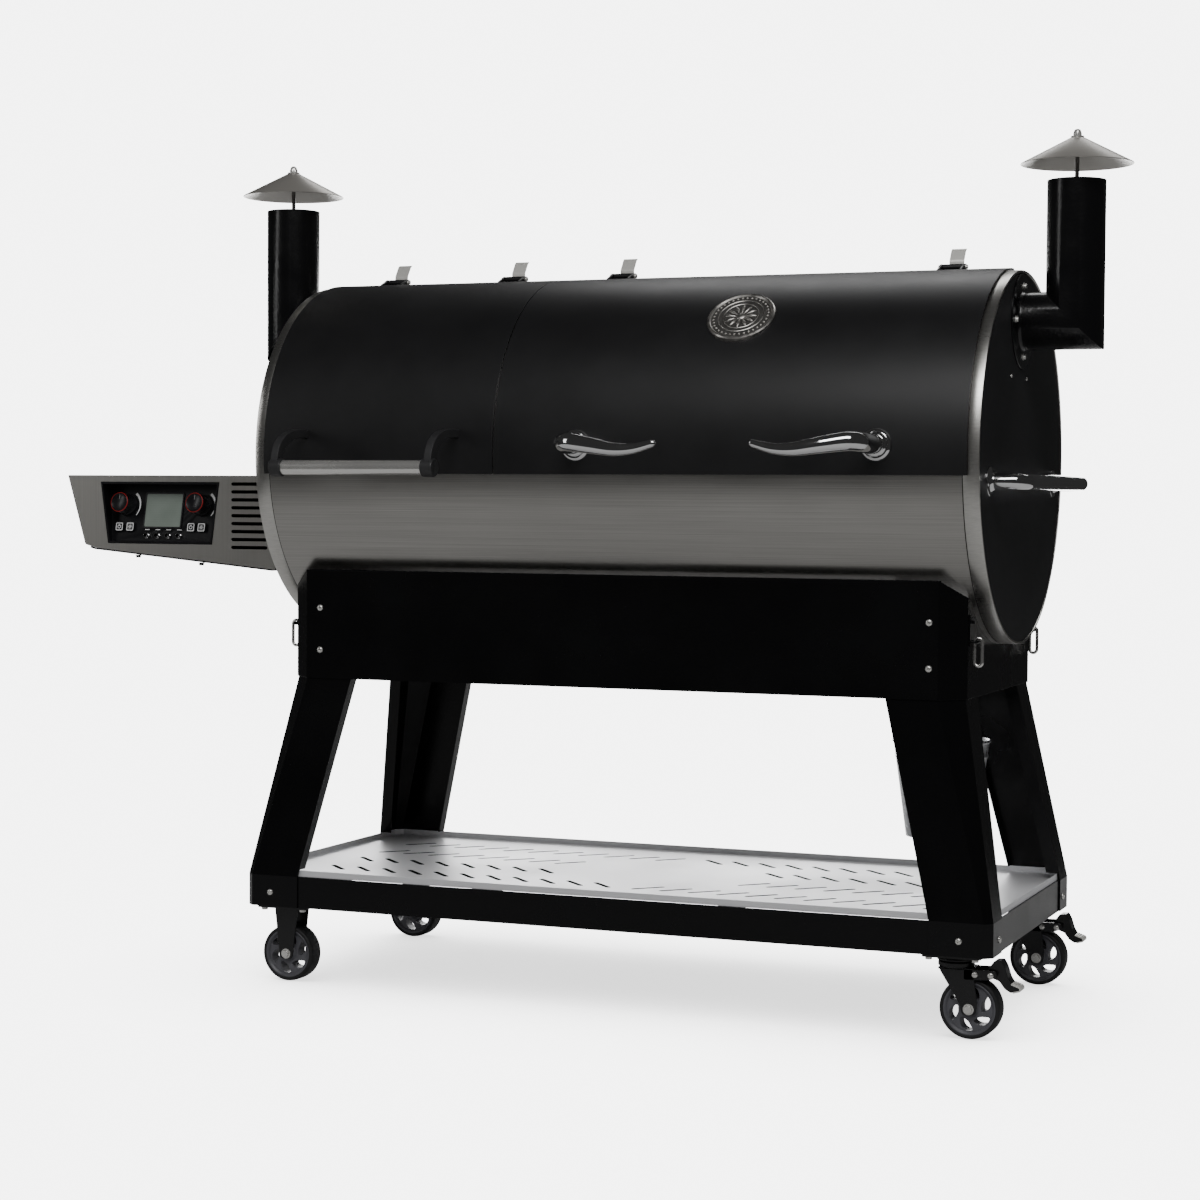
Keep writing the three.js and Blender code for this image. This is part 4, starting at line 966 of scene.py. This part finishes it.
def make_cart_screws():
    """Screws through the aprons, the legs' feet and the rails."""
    bm = bmesh.new()
    for y in (-1, 1):
        for x in (-573, 585.5):
            for z in (701, 623):
                screw(bm, (x, y * APRON_Y, z), BACK * y, 6, 3.4)
        for x in (-656.6, 652):
            screw(bm, (x, y * CART_Y, 170.5), BACK * y, 6, 3.6)
        for x in (-1, 1):
            screw(bm, (x * CART_X, y * 259, 169), RIGHT * x, 6, 3.6)
    add_piece("cart_screws", bm, FASTENER, ROOT, "polished", smooth=40)


TRAY_SHEET, TRAY_CHAMFER = 1.5, 13
SLOT_LENGTH, SLOT_WIDTH, SLOT_PITCH = 68, 10.5, 54
SLOT_ROWS = ((180, 45), (60, 207))  # each row's distance from the middle line, and where its slots begin
SLOT_REACH = 590
SLOT_SHADE_DEPTH = 4  # how far the slots' near-black walls, which paint the shade in the slots, reach down under the tray


def tray_slots(length, width):
    """Rows of slanting slots, mirrored about both middle lines, round a plain middle."""
    slots = []
    for row_y, first in SLOT_ROWS:
        for k in range(int((SLOT_REACH - first) / SLOT_PITCH) + 1):
            x = first + SLOT_PITCH * k
            for side_x in (-1, 1):
                for side_y in (-1, 1):
                    centre = (side_x * x, side_y * row_y)
                    slant = math.radians(-45 * side_x * side_y)
                    slots.append(slot_outline(centre, length, width, slant, 3))
    return slots


def make_tray():
    """A bright tray on the rails, its edge folded up, with near-black walls in its slots that reach under the
    tray as painted shade.
    """
    low, high = box_mm("shelf_plate")
    slots = tray_slots(SLOT_LENGTH, SLOT_WIDTH)
    inner_slots = tray_slots(SLOT_LENGTH - 1.6, SLOT_WIDTH - 1.6)

    def outline(inset):
        x, y, c = high.x - inset, high.y - inset, TRAY_CHAMFER
        return [(x - c, -y), (x, c - y), (x, y - c), (x - c, y),
                (c - x, y), (-x, y - c), (-x, c - y), (c - x, -y)]

    def between(z0, z1):
        return lambda u, v, w: Vector((u, v, z0 + (z1 - z0) * w))

    bm = bmesh.new()
    pierced(bm, outline(TRAY_SHEET), slots, between(low.z, low.z + TRAY_SHEET))
    pierced(bm, outline(0), [outline(TRAY_SHEET)], between(low.z, high.z))
    add_piece("tray", bm, TRAY_STEEL, ROOT, "tray_stainless", ["shelf_plate"], smooth=30)
    # near-black walls in every slot: painted shade where the slots look dark
    bm = bmesh.new()
    for outer, inner in zip(slots, inner_slots):
        top, bottom = low.z + TRAY_SHEET - 0.1, low.z - SLOT_SHADE_DEPTH
        levels = ((outer, top), (outer, bottom), (inner, bottom), (inner, top))
        skin(bm, [[Vector((u, v, z)) for u, v in loop] for loop, z in levels], closed_loop=True)
    add_piece("tray_slot_painted_shade", bm, SLOT_SHADE, ROOT, "tray_stainless", smooth=30)


RING_WIRE = 3


def make_rings():
    """Bright oval links that hang at the aprons' corners."""
    for row in ROWS:
        for end, _ in ENDS:
            node = f"hanging_ring_{row}_{end}"
            low, high = box_mm(node)
            centre = (low + high) / 2
            r = (high.x - low.x) / 2 - RING_WIRE
            straight = (high.z - low.z) / 2 - RING_WIRE - r
            path = []
            for sign, start in ((1, 0), (-1, 180)):
                for k in range(13):
                    turn = math.radians(start + 180 * k / 12)
                    spot = (r * math.cos(turn), 0, sign * straight + r * math.sin(turn))
                    path.append(centre + Vector(spot))
            bm = bmesh.new()
            sweep(bm, path, RING_WIRE, 16, closed=True)
            add_piece(f"link_{row}_{end}", bm, LINK_STEEL, f"ring_{row}_{end}", "polished", [node], smooth=70)


# ---------------------------------------------------------------- casters
WHEEL_R, WHEEL_HALF = 52.5, 19
WHEEL_WINDOWS = 6
WINDOW_R, WINDOW_REACH, WINDOW_TURN = 29, 9, 0.32  # a window's middle radius, and its half height and width
WEB_HALF = 14
FORK_OUT = 24
PLATE_UNDER = RAIL_BOTTOM - 4.3
CASTER_X = 637  # the swivel's axis
PEDAL_PIN_X, PEDAL_PIN_Z = CASTER_X + 66, 114


def swirl_window(k, steps=20):
    """One of the rim's windows, which lean with the wheel's turn."""
    points = []
    for s in range(steps):
        turn = math.tau * s / steps
        c, d = math.cos(turn), math.sin(turn)
        r = WINDOW_R + WINDOW_REACH * math.copysign(abs(d) ** 0.7, d)
        lean = 0.5 * (r - 18.5) / 20
        across = WINDOW_TURN * (WINDOW_R / r) ** 0.6 * math.copysign(abs(c) ** 0.7, c)
        angle = math.tau * k / WHEEL_WINDOWS + lean + across
        points.append((r * math.cos(angle), r * math.sin(angle)))
    return points


def make_wheels():
    """A black tyre on a grey moulded rim with six windows."""
    for row in ROWS:
        for end, _ in ENDS:
            node = f"wheel_{row}_{end}"
            centre = middle(node)
            h = WHEEL_HALF
            tread = [(45, -h + 1.5), (48, -h), (50, -h + 0.6), (51.8, -h + 3.2), (52.4, -h + 8)]
            finish = (RUBBER, node, "tyre", [node])
            add_turned(f"tyre_{row}_{end}", mirrored(tread), centre, BACK, 96, True, *finish, smooth=50)
            bm = bmesh.new()
            felloe = [(39.5, -h + 4), (43, -h + 0.8), (45.2, -h + 0.8)]
            lathe(bm, mirrored(felloe), centre, BACK, 72, closed=True)
            hub = [(5.4, -h + 0.2), (12, -h + 0.2), (14, -h + 3), (16.5, 1 - WEB_HALF)]
            lathe(bm, mirrored(hub), centre, BACK, 48, closed=True)
            windows = [swirl_window(k) for k in range(WHEEL_WINDOWS)]
            pierced(
                bm, circle_outline((0, 0), 40.5, 72), [*windows, circle_outline((0, 0), 12, 36)],
                lambda u, v, w: centre + Vector((u, -WEB_HALF + 2 * WEB_HALF * w, v)),
            )
            add_piece(f"rim_{row}_{end}", bm, RIM_GREY, node, bevel=0.9)


def fork_straps(bm, x, y, top, half_top, axle_x):
    """Two pressed straps from the crown down to the axle."""
    z = WHEEL_R
    shape = rounded_outline(
        [(x - half_top, top), (x + half_top, top), (axle_x + 15, z + 8), (axle_x + 12, z - 10),
         (axle_x - 12, z - 10), (axle_x - 15, z + 8)],
        7,
    )
    for low in (-FORK_OUT, FORK_OUT - 3):
        prism_y(bm, shape, y + low, y + low + 3)


def axle_bolts(bm, x, y):
    sweep(bm, [Vector((x, y - FORK_OUT - 4, WHEEL_R)), Vector((x, y + FORK_OUT + 4, WHEEL_R))], 4.8, 20)
    for s in (-1, 1):
        hex_head(bm, (x, y + s * FORK_OUT, WHEEL_R), BACK * s, 7.5, 5.5)


def caster_plate(bm, x, y):
    """The top plate, with its corners cut round."""
    prism_z(bm, rounded_rect(x - 51, y - 44, x + 51, y + 44, 8), PLATE_UNDER, RAIL_BOTTOM - 0.3)


def make_plate_bolts(name, x, y, body):
    bm = bmesh.new()
    for sx in (-40, 40):
        for sy in (-33, 33):
            hex_head(bm, (x + sx, y + sy, PLATE_UNDER), -UP, 6.2, 5)
    add_piece(name, bm, FASTENER, body, "polished")


def make_fixed_casters():
    for row in ROWS:
        centre = middle(f"wheel_{row}_left")
        x, y = centre.x, centre.y
        bm = bmesh.new()
        caster_plate(bm, x, y)
        block(bm, (x - 24, y - FORK_OUT, PLATE_UNDER - 3), (x + 24, y + FORK_OUT, PLATE_UNDER + 0.5))
        fork_straps(bm, x, y, PLATE_UNDER, 24, x)
        node = f"caster_fixed_{row}_left"
        add_piece(f"fixed_caster_{row}", bm, CASTER_COAT, ROOT, "caster_black", [node], bevel=0.7)
        bm = bmesh.new()
        axle_bolts(bm, x, y)
        add_piece(f"fixed_axle_{row}", bm, FASTENER, ROOT, "polished")
        make_plate_bolts(f"fixed_caster_bolts_{row}", x, y, ROOT)


def make_swivel_plate(row, x, y):
    """The top plate of a swivel caster, with its ball race and bolts."""
    bm = bmesh.new()
    caster_plate(bm, x, y)
    race_top = PLATE_UNDER + 0.3
    lathe(bm, [(7, 131.2), (29, 131.2), (33, 133), (33, 136), (31, race_top), (7, race_top)],
          Vector((x, y, 0)), UP, 64, closed=True)
    node = f"caster_plate_{row}_right"
    add_piece(f"swivel_plate_{row}", bm, CASTER_COAT, ROOT, "caster_black", [node], bevel=0.5)
    make_plate_bolts(f"swivel_plate_bolts_{row}", x, y, ROOT)


def make_fork(row, x, y, axle_x):
    """A trailing fork with two ears for the brake, and its bolts."""
    bm = bmesh.new()
    crown = [(0, 120), (28, 120), (31, 123), (31, 129.5), (29, 130.7), (0, 130.7)]
    lathe(bm, crown, Vector((x, y, 0)), UP, 64)
    block(bm, (x - 26, y - FORK_OUT, 118), (x + 34, y + FORK_OUT, 121.5))
    fork_straps(bm, x + 4, y, 120.5, 30, axle_x)
    ear = rounded_outline([(x + 18, 120), (x + 18, 102), (x + 60, 104), (x + 74, 110), (x + 74, 119),
                           (x + 60, 121)], 4)
    for low in (-FORK_OUT, FORK_OUT - 3):
        prism_y(bm, ear, y + low, y + low + 3)
    node = f"caster_fork_{row}_right"
    add_piece(f"fork_{row}_body", bm, CASTER_COAT, f"fork_{row}", "caster_black", [node], bevel=0.7)

    bm = bmesh.new()
    axle_bolts(bm, axle_x, y)
    for at in (x + 37, x + 64):
        for s in (-1, 1):
            lathe(bm, [(5.4, -0.3), (5.4, 0.6), (4.6, 1.9), (2.6, 2.9), (0, 3.2)],
                  Vector((at, y + s * FORK_OUT, 112)), BACK * s, 24)
    add_piece(f"fork_{row}_bolts", bm, FASTENER, f"fork_{row}", "polished")


def make_pedal(row, x, y):
    """A folded brake pedal on its cross pin, with a bright ribbed treadle at its tip."""
    body, z = f"pedal_{row}", PEDAL_PIN_Z
    side = [(-8, -5), (-7, 10), (2, 22), (14, 23), (20, 13), (26, -6),
            (33, -17), (45, -21), (46, -26), (30, -30), (20, -24), (11, -12)]
    bm = bmesh.new()
    prism_y(bm, rounded_outline([(x + u, z + v) for u, v in side], 2.2), y - 14, y + 14)
    hub = [(3.4, -19.5), (6, -19.5), (6.5, -19)]
    lathe(bm, mirrored(hub), Vector((x, y, z)), BACK, 32, closed=True)
    node = f"brake_pedal_{row}_right"
    add_piece(f"pedal_{row}_lever", bm, CASTER_COAT, body, "caster_black", [node], bevel=0.9)
    bm = bmesh.new()
    tread = [(x + 31, z - 15.4, 0), (x + 46, z - 20.4, 0), (x + 46.6, z - 26, 0), (x + 34, z - 29.4, 0)]
    tread = rounded_path(tread, 2.4, 5)
    prism_y(bm, stroke([(p.x, p.y) for p in tread], 2.4), y - 15, y + 15)
    for k in range(3):
        spot = Vector((x + 34.5 + 3.6 * k, y, z - 15 - 1.2 * k))
        sweep(bm, [spot - BACK * 13, spot + BACK * 13], 0.8, 10)
    add_piece(f"pedal_{row}_treadle", bm, PLATE_STEEL, body, "galvanised", bevel=0.4)


def make_swivel_casters():
    """The right casters: a plate, a trailing fork and a brake pedal."""
    for row in ROWS:
        wheel = middle(f"wheel_{row}_right")
        make_swivel_plate(row, CASTER_X, wheel.y)
        make_fork(row, CASTER_X, wheel.y, wheel.x)
        make_pedal(row, PEDAL_PIN_X, wheel.y)


# ---------------------------------------------------------------- hopper and its controls
HOPPER_LOW, HOPPER_HIGH = box_mm("control_fascia")
FASCIA_FRONT = HOPPER_LOW.y
SOCKETS_X = [-970.5 + 23.7 * k for k in range(4)]
KNOB_Z, KEY_Z = 888, 846


def hopper_outline():
    """The fascia's outline, with its lower left corner turned round."""
    left, right, top = HOPPER_LOW.x, HOPPER_HIGH.x, HOPPER_HIGH.z
    corners = [(left, top), (-1102, 812), (-1078, 805.5), (right, HOPPER_LOW.z), (right, top)]
    return rounded_outline(corners, 3, 3)


def make_fascia():
    """A brushed sheet with the panel's window and nine vents that run under the barrel's rim."""
    window = [(-1066.3, 933.3), (-1050.3, 814.7), (-819.7, 814.7), (-803.7, 933.3)]
    vents = [slot_outline((-739, 930 - 15 * k), 78, 6.4, 0, 6) for k in range(9)]
    bm = bmesh.new()
    front = FASCIA_FRONT
    pierced(bm, hopper_outline(), [window, *vents], lambda u, v, w: Vector((u, front + 2 * (1 - w), v)))
    add_piece("fascia_sheet", bm, FASCIA_STEEL, ROOT, "stainless", ["control_fascia"], bevel=0.4)
    bm = bmesh.new()
    line = [(-1090, 807), (-1080, 804), (-690, 768.3)]
    prism_y(bm, stroke(line, 3), front + 0.6, front + 26)
    for x, z in ((-990, 792.5), (-850, 779.5)):
        hex_head(bm, (x, front + 13, z), -UP, 5, 5)
    add_piece("hopper_lower_lip", bm, CASTER_COAT, ROOT, "lid_coat", bevel=0.4)


def make_display():
    bm = bmesh.new()
    display = rounded_rect(-978, 847, -898.5, 910, 2.5)
    prism(bm, display, lambda x, z, w: panel_point(x, z, 0.2 + 1.2 * w))
    add_piece("display", bm, LCD, ROOT, bevel=0.3)
    bm = bmesh.new()
    border = rounded_rect(-981, 844, -895.5, 913, 4)
    pierced(bm, border, [display], lambda x, z, w: panel_point(x, z, 0.1 + 2 * w))
    add_piece("display_frame", bm, KNOB_PLASTIC, ROOT, "plastic_black", bevel=0.5)


def make_probe_sockets():
    bm = bmesh.new()
    for x in SOCKETS_X:
        lathe(
            bm,
            [(3.4, 0), (6.4, 0, 6), (6.4, 5, 6), (5.4, 5.4), (5, 5.6), (5, 9), (4.5, 9.6), (3.6, 9.6),
             (3.4, 9)],
            panel_point(x, 830, -3), PANEL_NORMAL, 36, closed=True,
        )
    add_piece("probe_sockets", bm, CHROME, ROOT, "polished", smooth=30)


def make_print():
    """A swelling arc beside each knob and a dash over each socket."""
    bm = bmesh.new()
    for knob in ("knob_left", "knob_right"):
        x = middle(knob).x
        turns = [math.radians(a) for a in range(-42, 58, 6)]
        arc = [(x + 28 * math.cos(t), KNOB_Z + 28 * math.sin(t)) for t in turns]
        for k, point in enumerate(arc[:-1]):
            width = 1.2 + 4 * k / len(arc)
            prism(bm, stroke([point, arc[k + 1]], width), lambda u, v, w: panel_point(u, v, 0.15 + 0.35 * w))
    for x in SOCKETS_X:
        mark = stroke([(x - 5, 841.5), (x + 5, 841.5)], 1.1)
        prism(bm, mark, lambda u, v, w: panel_point(u, v, 0.15 + 0.3 * w))
    add_piece("panel_print", bm, PRINT, ROOT)


def make_panel():
    """The leaning panel with its display, probe sockets and printed marks."""
    dress("control_bezel", PANEL_PLASTIC, 1.2)
    make_display()
    make_probe_sockets()
    make_print()


def make_knobs():
    """Ribbed knobs with a red ring round the face and a pointer."""
    for name in ("knob_left", "knob_right"):
        x, z = middle(name).x, KNOB_Z
        bm = bmesh.new()
        base = panel_point(x, z)
        ribs = 36
        loops = []
        u, v = basis(PANEL_NORMAL)
        for r, height, depth in ((21, 0.4, 0), (21, 5, 0), (20, 7, 0), (19, 8, 0.5), (18.6, 28, 0.5),
                                 (17.8, 31.5, 0.1), (16.4, 32.8, 0), (15.6, 32.2, 0), (0.05, 32, 0)):
            loop = []
            for k in range(ribs * 4):
                turn = math.tau * k / (ribs * 4)
                reach = r + depth * math.cos(turn * ribs)
                loop.append(base + PANEL_NORMAL * height + spoke(u, v, turn) * reach)
            loops.append(loop)
        skin(bm, loops)
        add_piece(f"{name}_cap", bm, KNOB_PLASTIC, name, "plastic_black", [name], smooth=50)
        ring = [(18.4, 31.2), (18.9, 31.1), (19, 31.6), (18.6, 32.4), (18, 32.6), (17.8, 32)]
        add_turned(f"{name}_ring", ring, base, PANEL_NORMAL, 64, True, RED, name, smooth=60)
        bm = bmesh.new()
        prism(
            bm, slot_outline((x, z + 10), 9, 1.6, math.pi / 2),
            lambda a, b, w: panel_point(a, b, 31.8 + 0.7 * w),
        )
        add_piece(f"{name}_pointer", bm, DIM_PRINT, name, bevel=0.2)


def make_buttons():
    """Soft square keys with generic symbols: a power mark or a sun mark, in a white outline."""
    for i in (1, 2, 3, 4):
        node = f"button_{i}"
        x, z = middle(node).x, KEY_Z
        bm = bmesh.new()
        prism(bm, rounded_square(x, z, 8.4, 3), lambda a, b, w: panel_point(a, b, 2.2 + 2.9 * w))
        add_piece(f"{node}_key", bm, KNOB_PLASTIC, node, "plastic_black", [node], bevel=0.6, segments=3)
        bm = bmesh.new()

        def lift(a, b, w):
            return panel_point(a, b, 5 + 0.25 * w)

        pierced(bm, rounded_square(x, z, 7.4, 2.5), [rounded_square(x, z, 6.2, 2)], lift)
        radius = 3.6 if i % 2 else 2.2
        pierced(bm, circle_outline((x, z), radius), [circle_outline((x, z), radius - 0.9)], lift)
        if i % 2:
            prism(bm, stroke([(x, z + 1.2), (x, z + 5)], 0.9), lift)
        else:
            for k in range(8):
                turn = math.tau * k / 8
                a = (x + 3.1 * math.cos(turn), z + 3.1 * math.sin(turn))
                b = (x + 4.7 * math.cos(turn), z + 4.7 * math.sin(turn))
                prism(bm, stroke([a, b], 0.8), lift)
        add_piece(f"{node}_symbol", bm, PRINT, node)


def dress_hopper():
    dress("hopper_body", LID_COAT, 0.9)
    dress("hopper_lid", LID_COAT, 0.9)
    dress("auger_screw", ZINC, 0.3)


# ---------------------------------------------------------------- inside and under the barrel
GRATE_PITCH, GRATE_BAR, GRATE_END_BAR, GRATE_RUNNER = 16, 2.8, 3.9, 3.2  # spacing, then the bars' radii


def make_grates():
    """Round bars across the barrel, welded to two runners and a frame bar at each end."""
    for end in ("left", "right"):
        low, high = box_mm(f"cooking_grate_{end}")
        x0, x1, y0, y1 = low.x + 4, high.x - 4, low.y + 4, high.y - 4
        level = high.z - GRATE_RUNNER
        bm = bmesh.new()
        count = round((x1 - x0) / GRATE_PITCH)
        for k in range(count + 1):
            x = x0 + (x1 - x0) * k / count
            r = GRATE_END_BAR if k in (0, count) else GRATE_BAR
            sweep(bm, [Vector((x, y0, level)), Vector((x, y1, level))], r, 12)
        for y in (y0, -150, 0, 150, y1):
            sweep(bm, [Vector((x0, y, level - 1.5)), Vector((x1, y, level - 1.5))], GRATE_RUNNER, 12)
        add_piece(f"grate_{end}", bm, IRON, ROOT, "iron", [f"cooking_grate_{end}"], smooth=60)


def make_bucket():
    """A tapered steel pail with a rolled rim, a bead below it, and two riveted ears."""
    low, high = box_mm("grease_bucket")
    centre = (low + high) / 2
    base, rim = low.z, high.z
    rim_r, base_r = 86, 62

    def wall(z, inset=0):
        return base_r + (rim_r - base_r) * (z - base) / (rim - base) - inset

    bead = rim - 30
    profile = [(0, base + 3), (base_r - 8, base + 3), (base_r - 5, base + 0.2), (base_r, base),
               (wall(base + 3), base + 3), (wall(bead - 5), bead - 5), (wall(bead) + 2.2, bead),
               (wall(bead + 5), bead + 5), (wall(rim - 6), rim - 6), (rim_r + 1.6, rim - 5),
               (rim_r + 2.4, rim - 2.5), (rim_r + 1.6, rim - 0.2), (rim_r - 0.6, rim),
               (wall(rim - 3, 1.2), rim - 2.4), (wall(bead, 1.2), bead), (wall(base + 5, 1.2), base + 5),
               (0, base + 4.5)]
    spot = Vector((centre.x, centre.y, 0))
    finish = (ZINC, "bucket", "galvanised", ["grease_bucket"])
    add_turned("pail", profile, spot, UP, 96, False, *finish, smooth=40)
    bm = bmesh.new()
    for s in (-1, 1):
        y = centre.y + s * (rim_r - 1)
        prism_y(bm, rounded_rect(centre.x - 9, 461, centre.x + 9, 477.5, 5), y, y + s * 3.5)
        lathe(bm, [(3.4, 0), (3.2, 1), (2, 1.8), (0, 2)], Vector((centre.x, y + s * 3.5, 464)), BACK * s, 20)
    add_piece("pail_ears", bm, ZINC, "bucket", "galvanised", bevel=0.5)


def make_bail():
    """The pail's wire bail, with its ends turned through the ears."""
    low, high = box_mm("bucket_bail")
    centre = (low + high) / 2
    y, top, foot = (high.y - low.y) / 2 - 2.2, high.z - 2.2, 470
    points = [(-y, foot), (-y, foot + 30), (-y * 0.72, top - 34), (-14, top - 2), (0, top), (14, top - 2),
              (y * 0.72, top - 34), (y, foot + 30), (y, foot)]
    path = smooth_line([(centre.x, centre.y + py, pz) for py, pz in points], 8)
    bm = bmesh.new()
    sweep(bm, path, 2.1, 14)
    add_piece("bail_wire", bm, ZINC, "bail", "galvanised", ["bucket_bail"], smooth=70)


def dress_inside():
    dress("fire_pot", IRON, 0.6)
    dress("drip_pan", DARK_STEEL, 0.4)


# ---------------------------------------------------------------- studio
BACKDROP = 6.0  # brightness of the studio's white, where it is seen behind and under the object


def add_area(name, place, target, size, power):
    """A rectangular lamp, in metres and watts, aimed at a point."""
    lamp = bpy.data.lights.new(name, "AREA")
    lamp.shape = "RECTANGLE"
    lamp.size, lamp.size_y = size
    lamp.energy = power
    holder = bpy.data.objects.new(name, lamp)
    bpy.context.scene.collection.objects.link(holder)
    holder.location = place
    holder.rotation_euler = (Vector(target) - Vector(place)).to_track_quat("-Z", "Y").to_euler()
    holder.visible_camera = False


def make_floor():
    """A plain pale floor that runs into the white behind it, with painted soft shade where the wheels stand.
    """
    look = Surface("floor", (0.45, 0.45, 0.45), 0.0, 0.7)
    look.feed("Base Color", look.ramp(look.noise(0.6, 2.0), (0.44, 0.44, 0.44), (0.46, 0.46, 0.46)))
    # camera rays see the floor as emission, dimmed by ambient occlusion near the wheels: painted shadow
    near = look.node("ShaderNodeAmbientOcclusion", Distance=0.45)
    strength = look.remap(near.outputs["AO"], 0.3 * BACKDROP, BACKDROP, 0.25, 1.0)
    white = look.node("ShaderNodeEmission", {"Strength": strength})
    seen = look.node("ShaderNodeLightPath").outputs["Is Camera Ray"]
    mix = look.node("ShaderNodeMixShader", {0: seen, 1: look.shader.outputs[0], 2: white.outputs[0]})
    look.tree.links.new(mix.outputs[0], look.tree.nodes["Material Output"].inputs["Surface"])
    bm = bmesh.new()
    bmesh.ops.create_circle(bm, cap_ends=True, segments=96, radius=2.9)
    mesh = bpy.data.meshes.new("floor")
    bm.to_mesh(mesh)
    bm.free()
    mesh.materials.append(look.material)
    floor = bpy.data.objects.new("floor", mesh)
    bpy.context.scene.collection.objects.link(floor)


def make_world():
    """White behind the object, soft grey light on it, and a dark room for its black coat to reflect."""
    world = bpy.data.worlds.new("studio")
    bpy.context.scene.world = world
    world.use_nodes = True
    tree = world.node_tree
    paths = add_node(tree, "ShaderNodeLightPath")
    soft = tree.nodes["Background"]
    soft.inputs["Strength"].default_value = 0.4
    dark = add_node(tree, "ShaderNodeBackground", Strength=0.03)
    white = add_node(tree, "ShaderNodeBackground", Strength=BACKDROP)
    for back in (soft, dark, white):
        back.inputs["Color"].default_value = (1, 1, 1, 1)
    seen = soft.outputs[0]
    for name, back in (("Is Glossy Ray", dark), ("Is Camera Ray", white)):
        mix = add_node(tree, "ShaderNodeMixShader", {0: paths.outputs[name], 1: seen, 2: back.outputs[0]})
        seen = mix.outputs[0]
    tree.links.new(seen, tree.nodes["World Output"].inputs["Surface"])


def make_lights():
    """Softboxes over the front, a strip at the left, and a low white board that the tray mirrors."""
    centre = TO_ROW @ Vector((0, 0, 950))
    add_area("over_front", (1.3, -3.0, 3.7), centre, (3.2, 1.5), 95)
    add_area("left_strip", (-3.4, -2.6, 1.9), centre, (0.7, 2.6), 14)
    add_area("over_back", (0.3, 2.4, 3.6), centre, (3.2, 0.8), 30)
    add_area("tray_board", (-1.5, 3.7, 0.9), TO_ROW @ Vector((-300, 0, 200)), (4.4, 1.5), 150)


def make_camera():
    """The camera stands at the viewing angle that the object is usually shown from."""
    place = TO_ROW @ Vector((1679.5, -4485.1, 905.6))
    yaw, pitch, roll = (math.radians(a) for a in (21.913, -2.253, 0.384))
    ahead = Vector((-math.sin(yaw) * math.cos(pitch), math.cos(yaw) * math.cos(pitch), math.sin(pitch)))
    across = Vector((math.cos(yaw), math.sin(yaw), 0))
    above = across.cross(ahead)
    right = across * math.cos(roll) + above * math.sin(roll)
    top = above * math.cos(roll) - across * math.sin(roll)
    turn = Matrix((right, top, -ahead)).transposed()
    data = bpy.data.cameras.new("camera")
    data.sensor_width = 36
    data.lens = 76.76
    camera = bpy.data.objects.new("camera", data)
    bpy.context.scene.collection.objects.link(camera)
    camera.matrix_world = Matrix.Translation(place) @ turn.to_4x4()
    bpy.context.scene.camera = camera


make_camera()
make_world()
make_lights()
make_floor()

make_drum()
make_rim_bands()
make_end_panels()
make_drain()
make_lids()
make_hinges()
make_bar_handle()
make_horns()
make_medallion()
make_stacks()
make_caps()
make_side_handle()
dress_cart()
make_cart_screws()
make_tray()
make_rings()
make_wheels()
make_fixed_casters()
make_swivel_casters()
make_fascia()
make_panel()
make_knobs()
make_buttons()
dress_hopper()
make_grates()
make_bucket()
make_bail()
dress_inside()
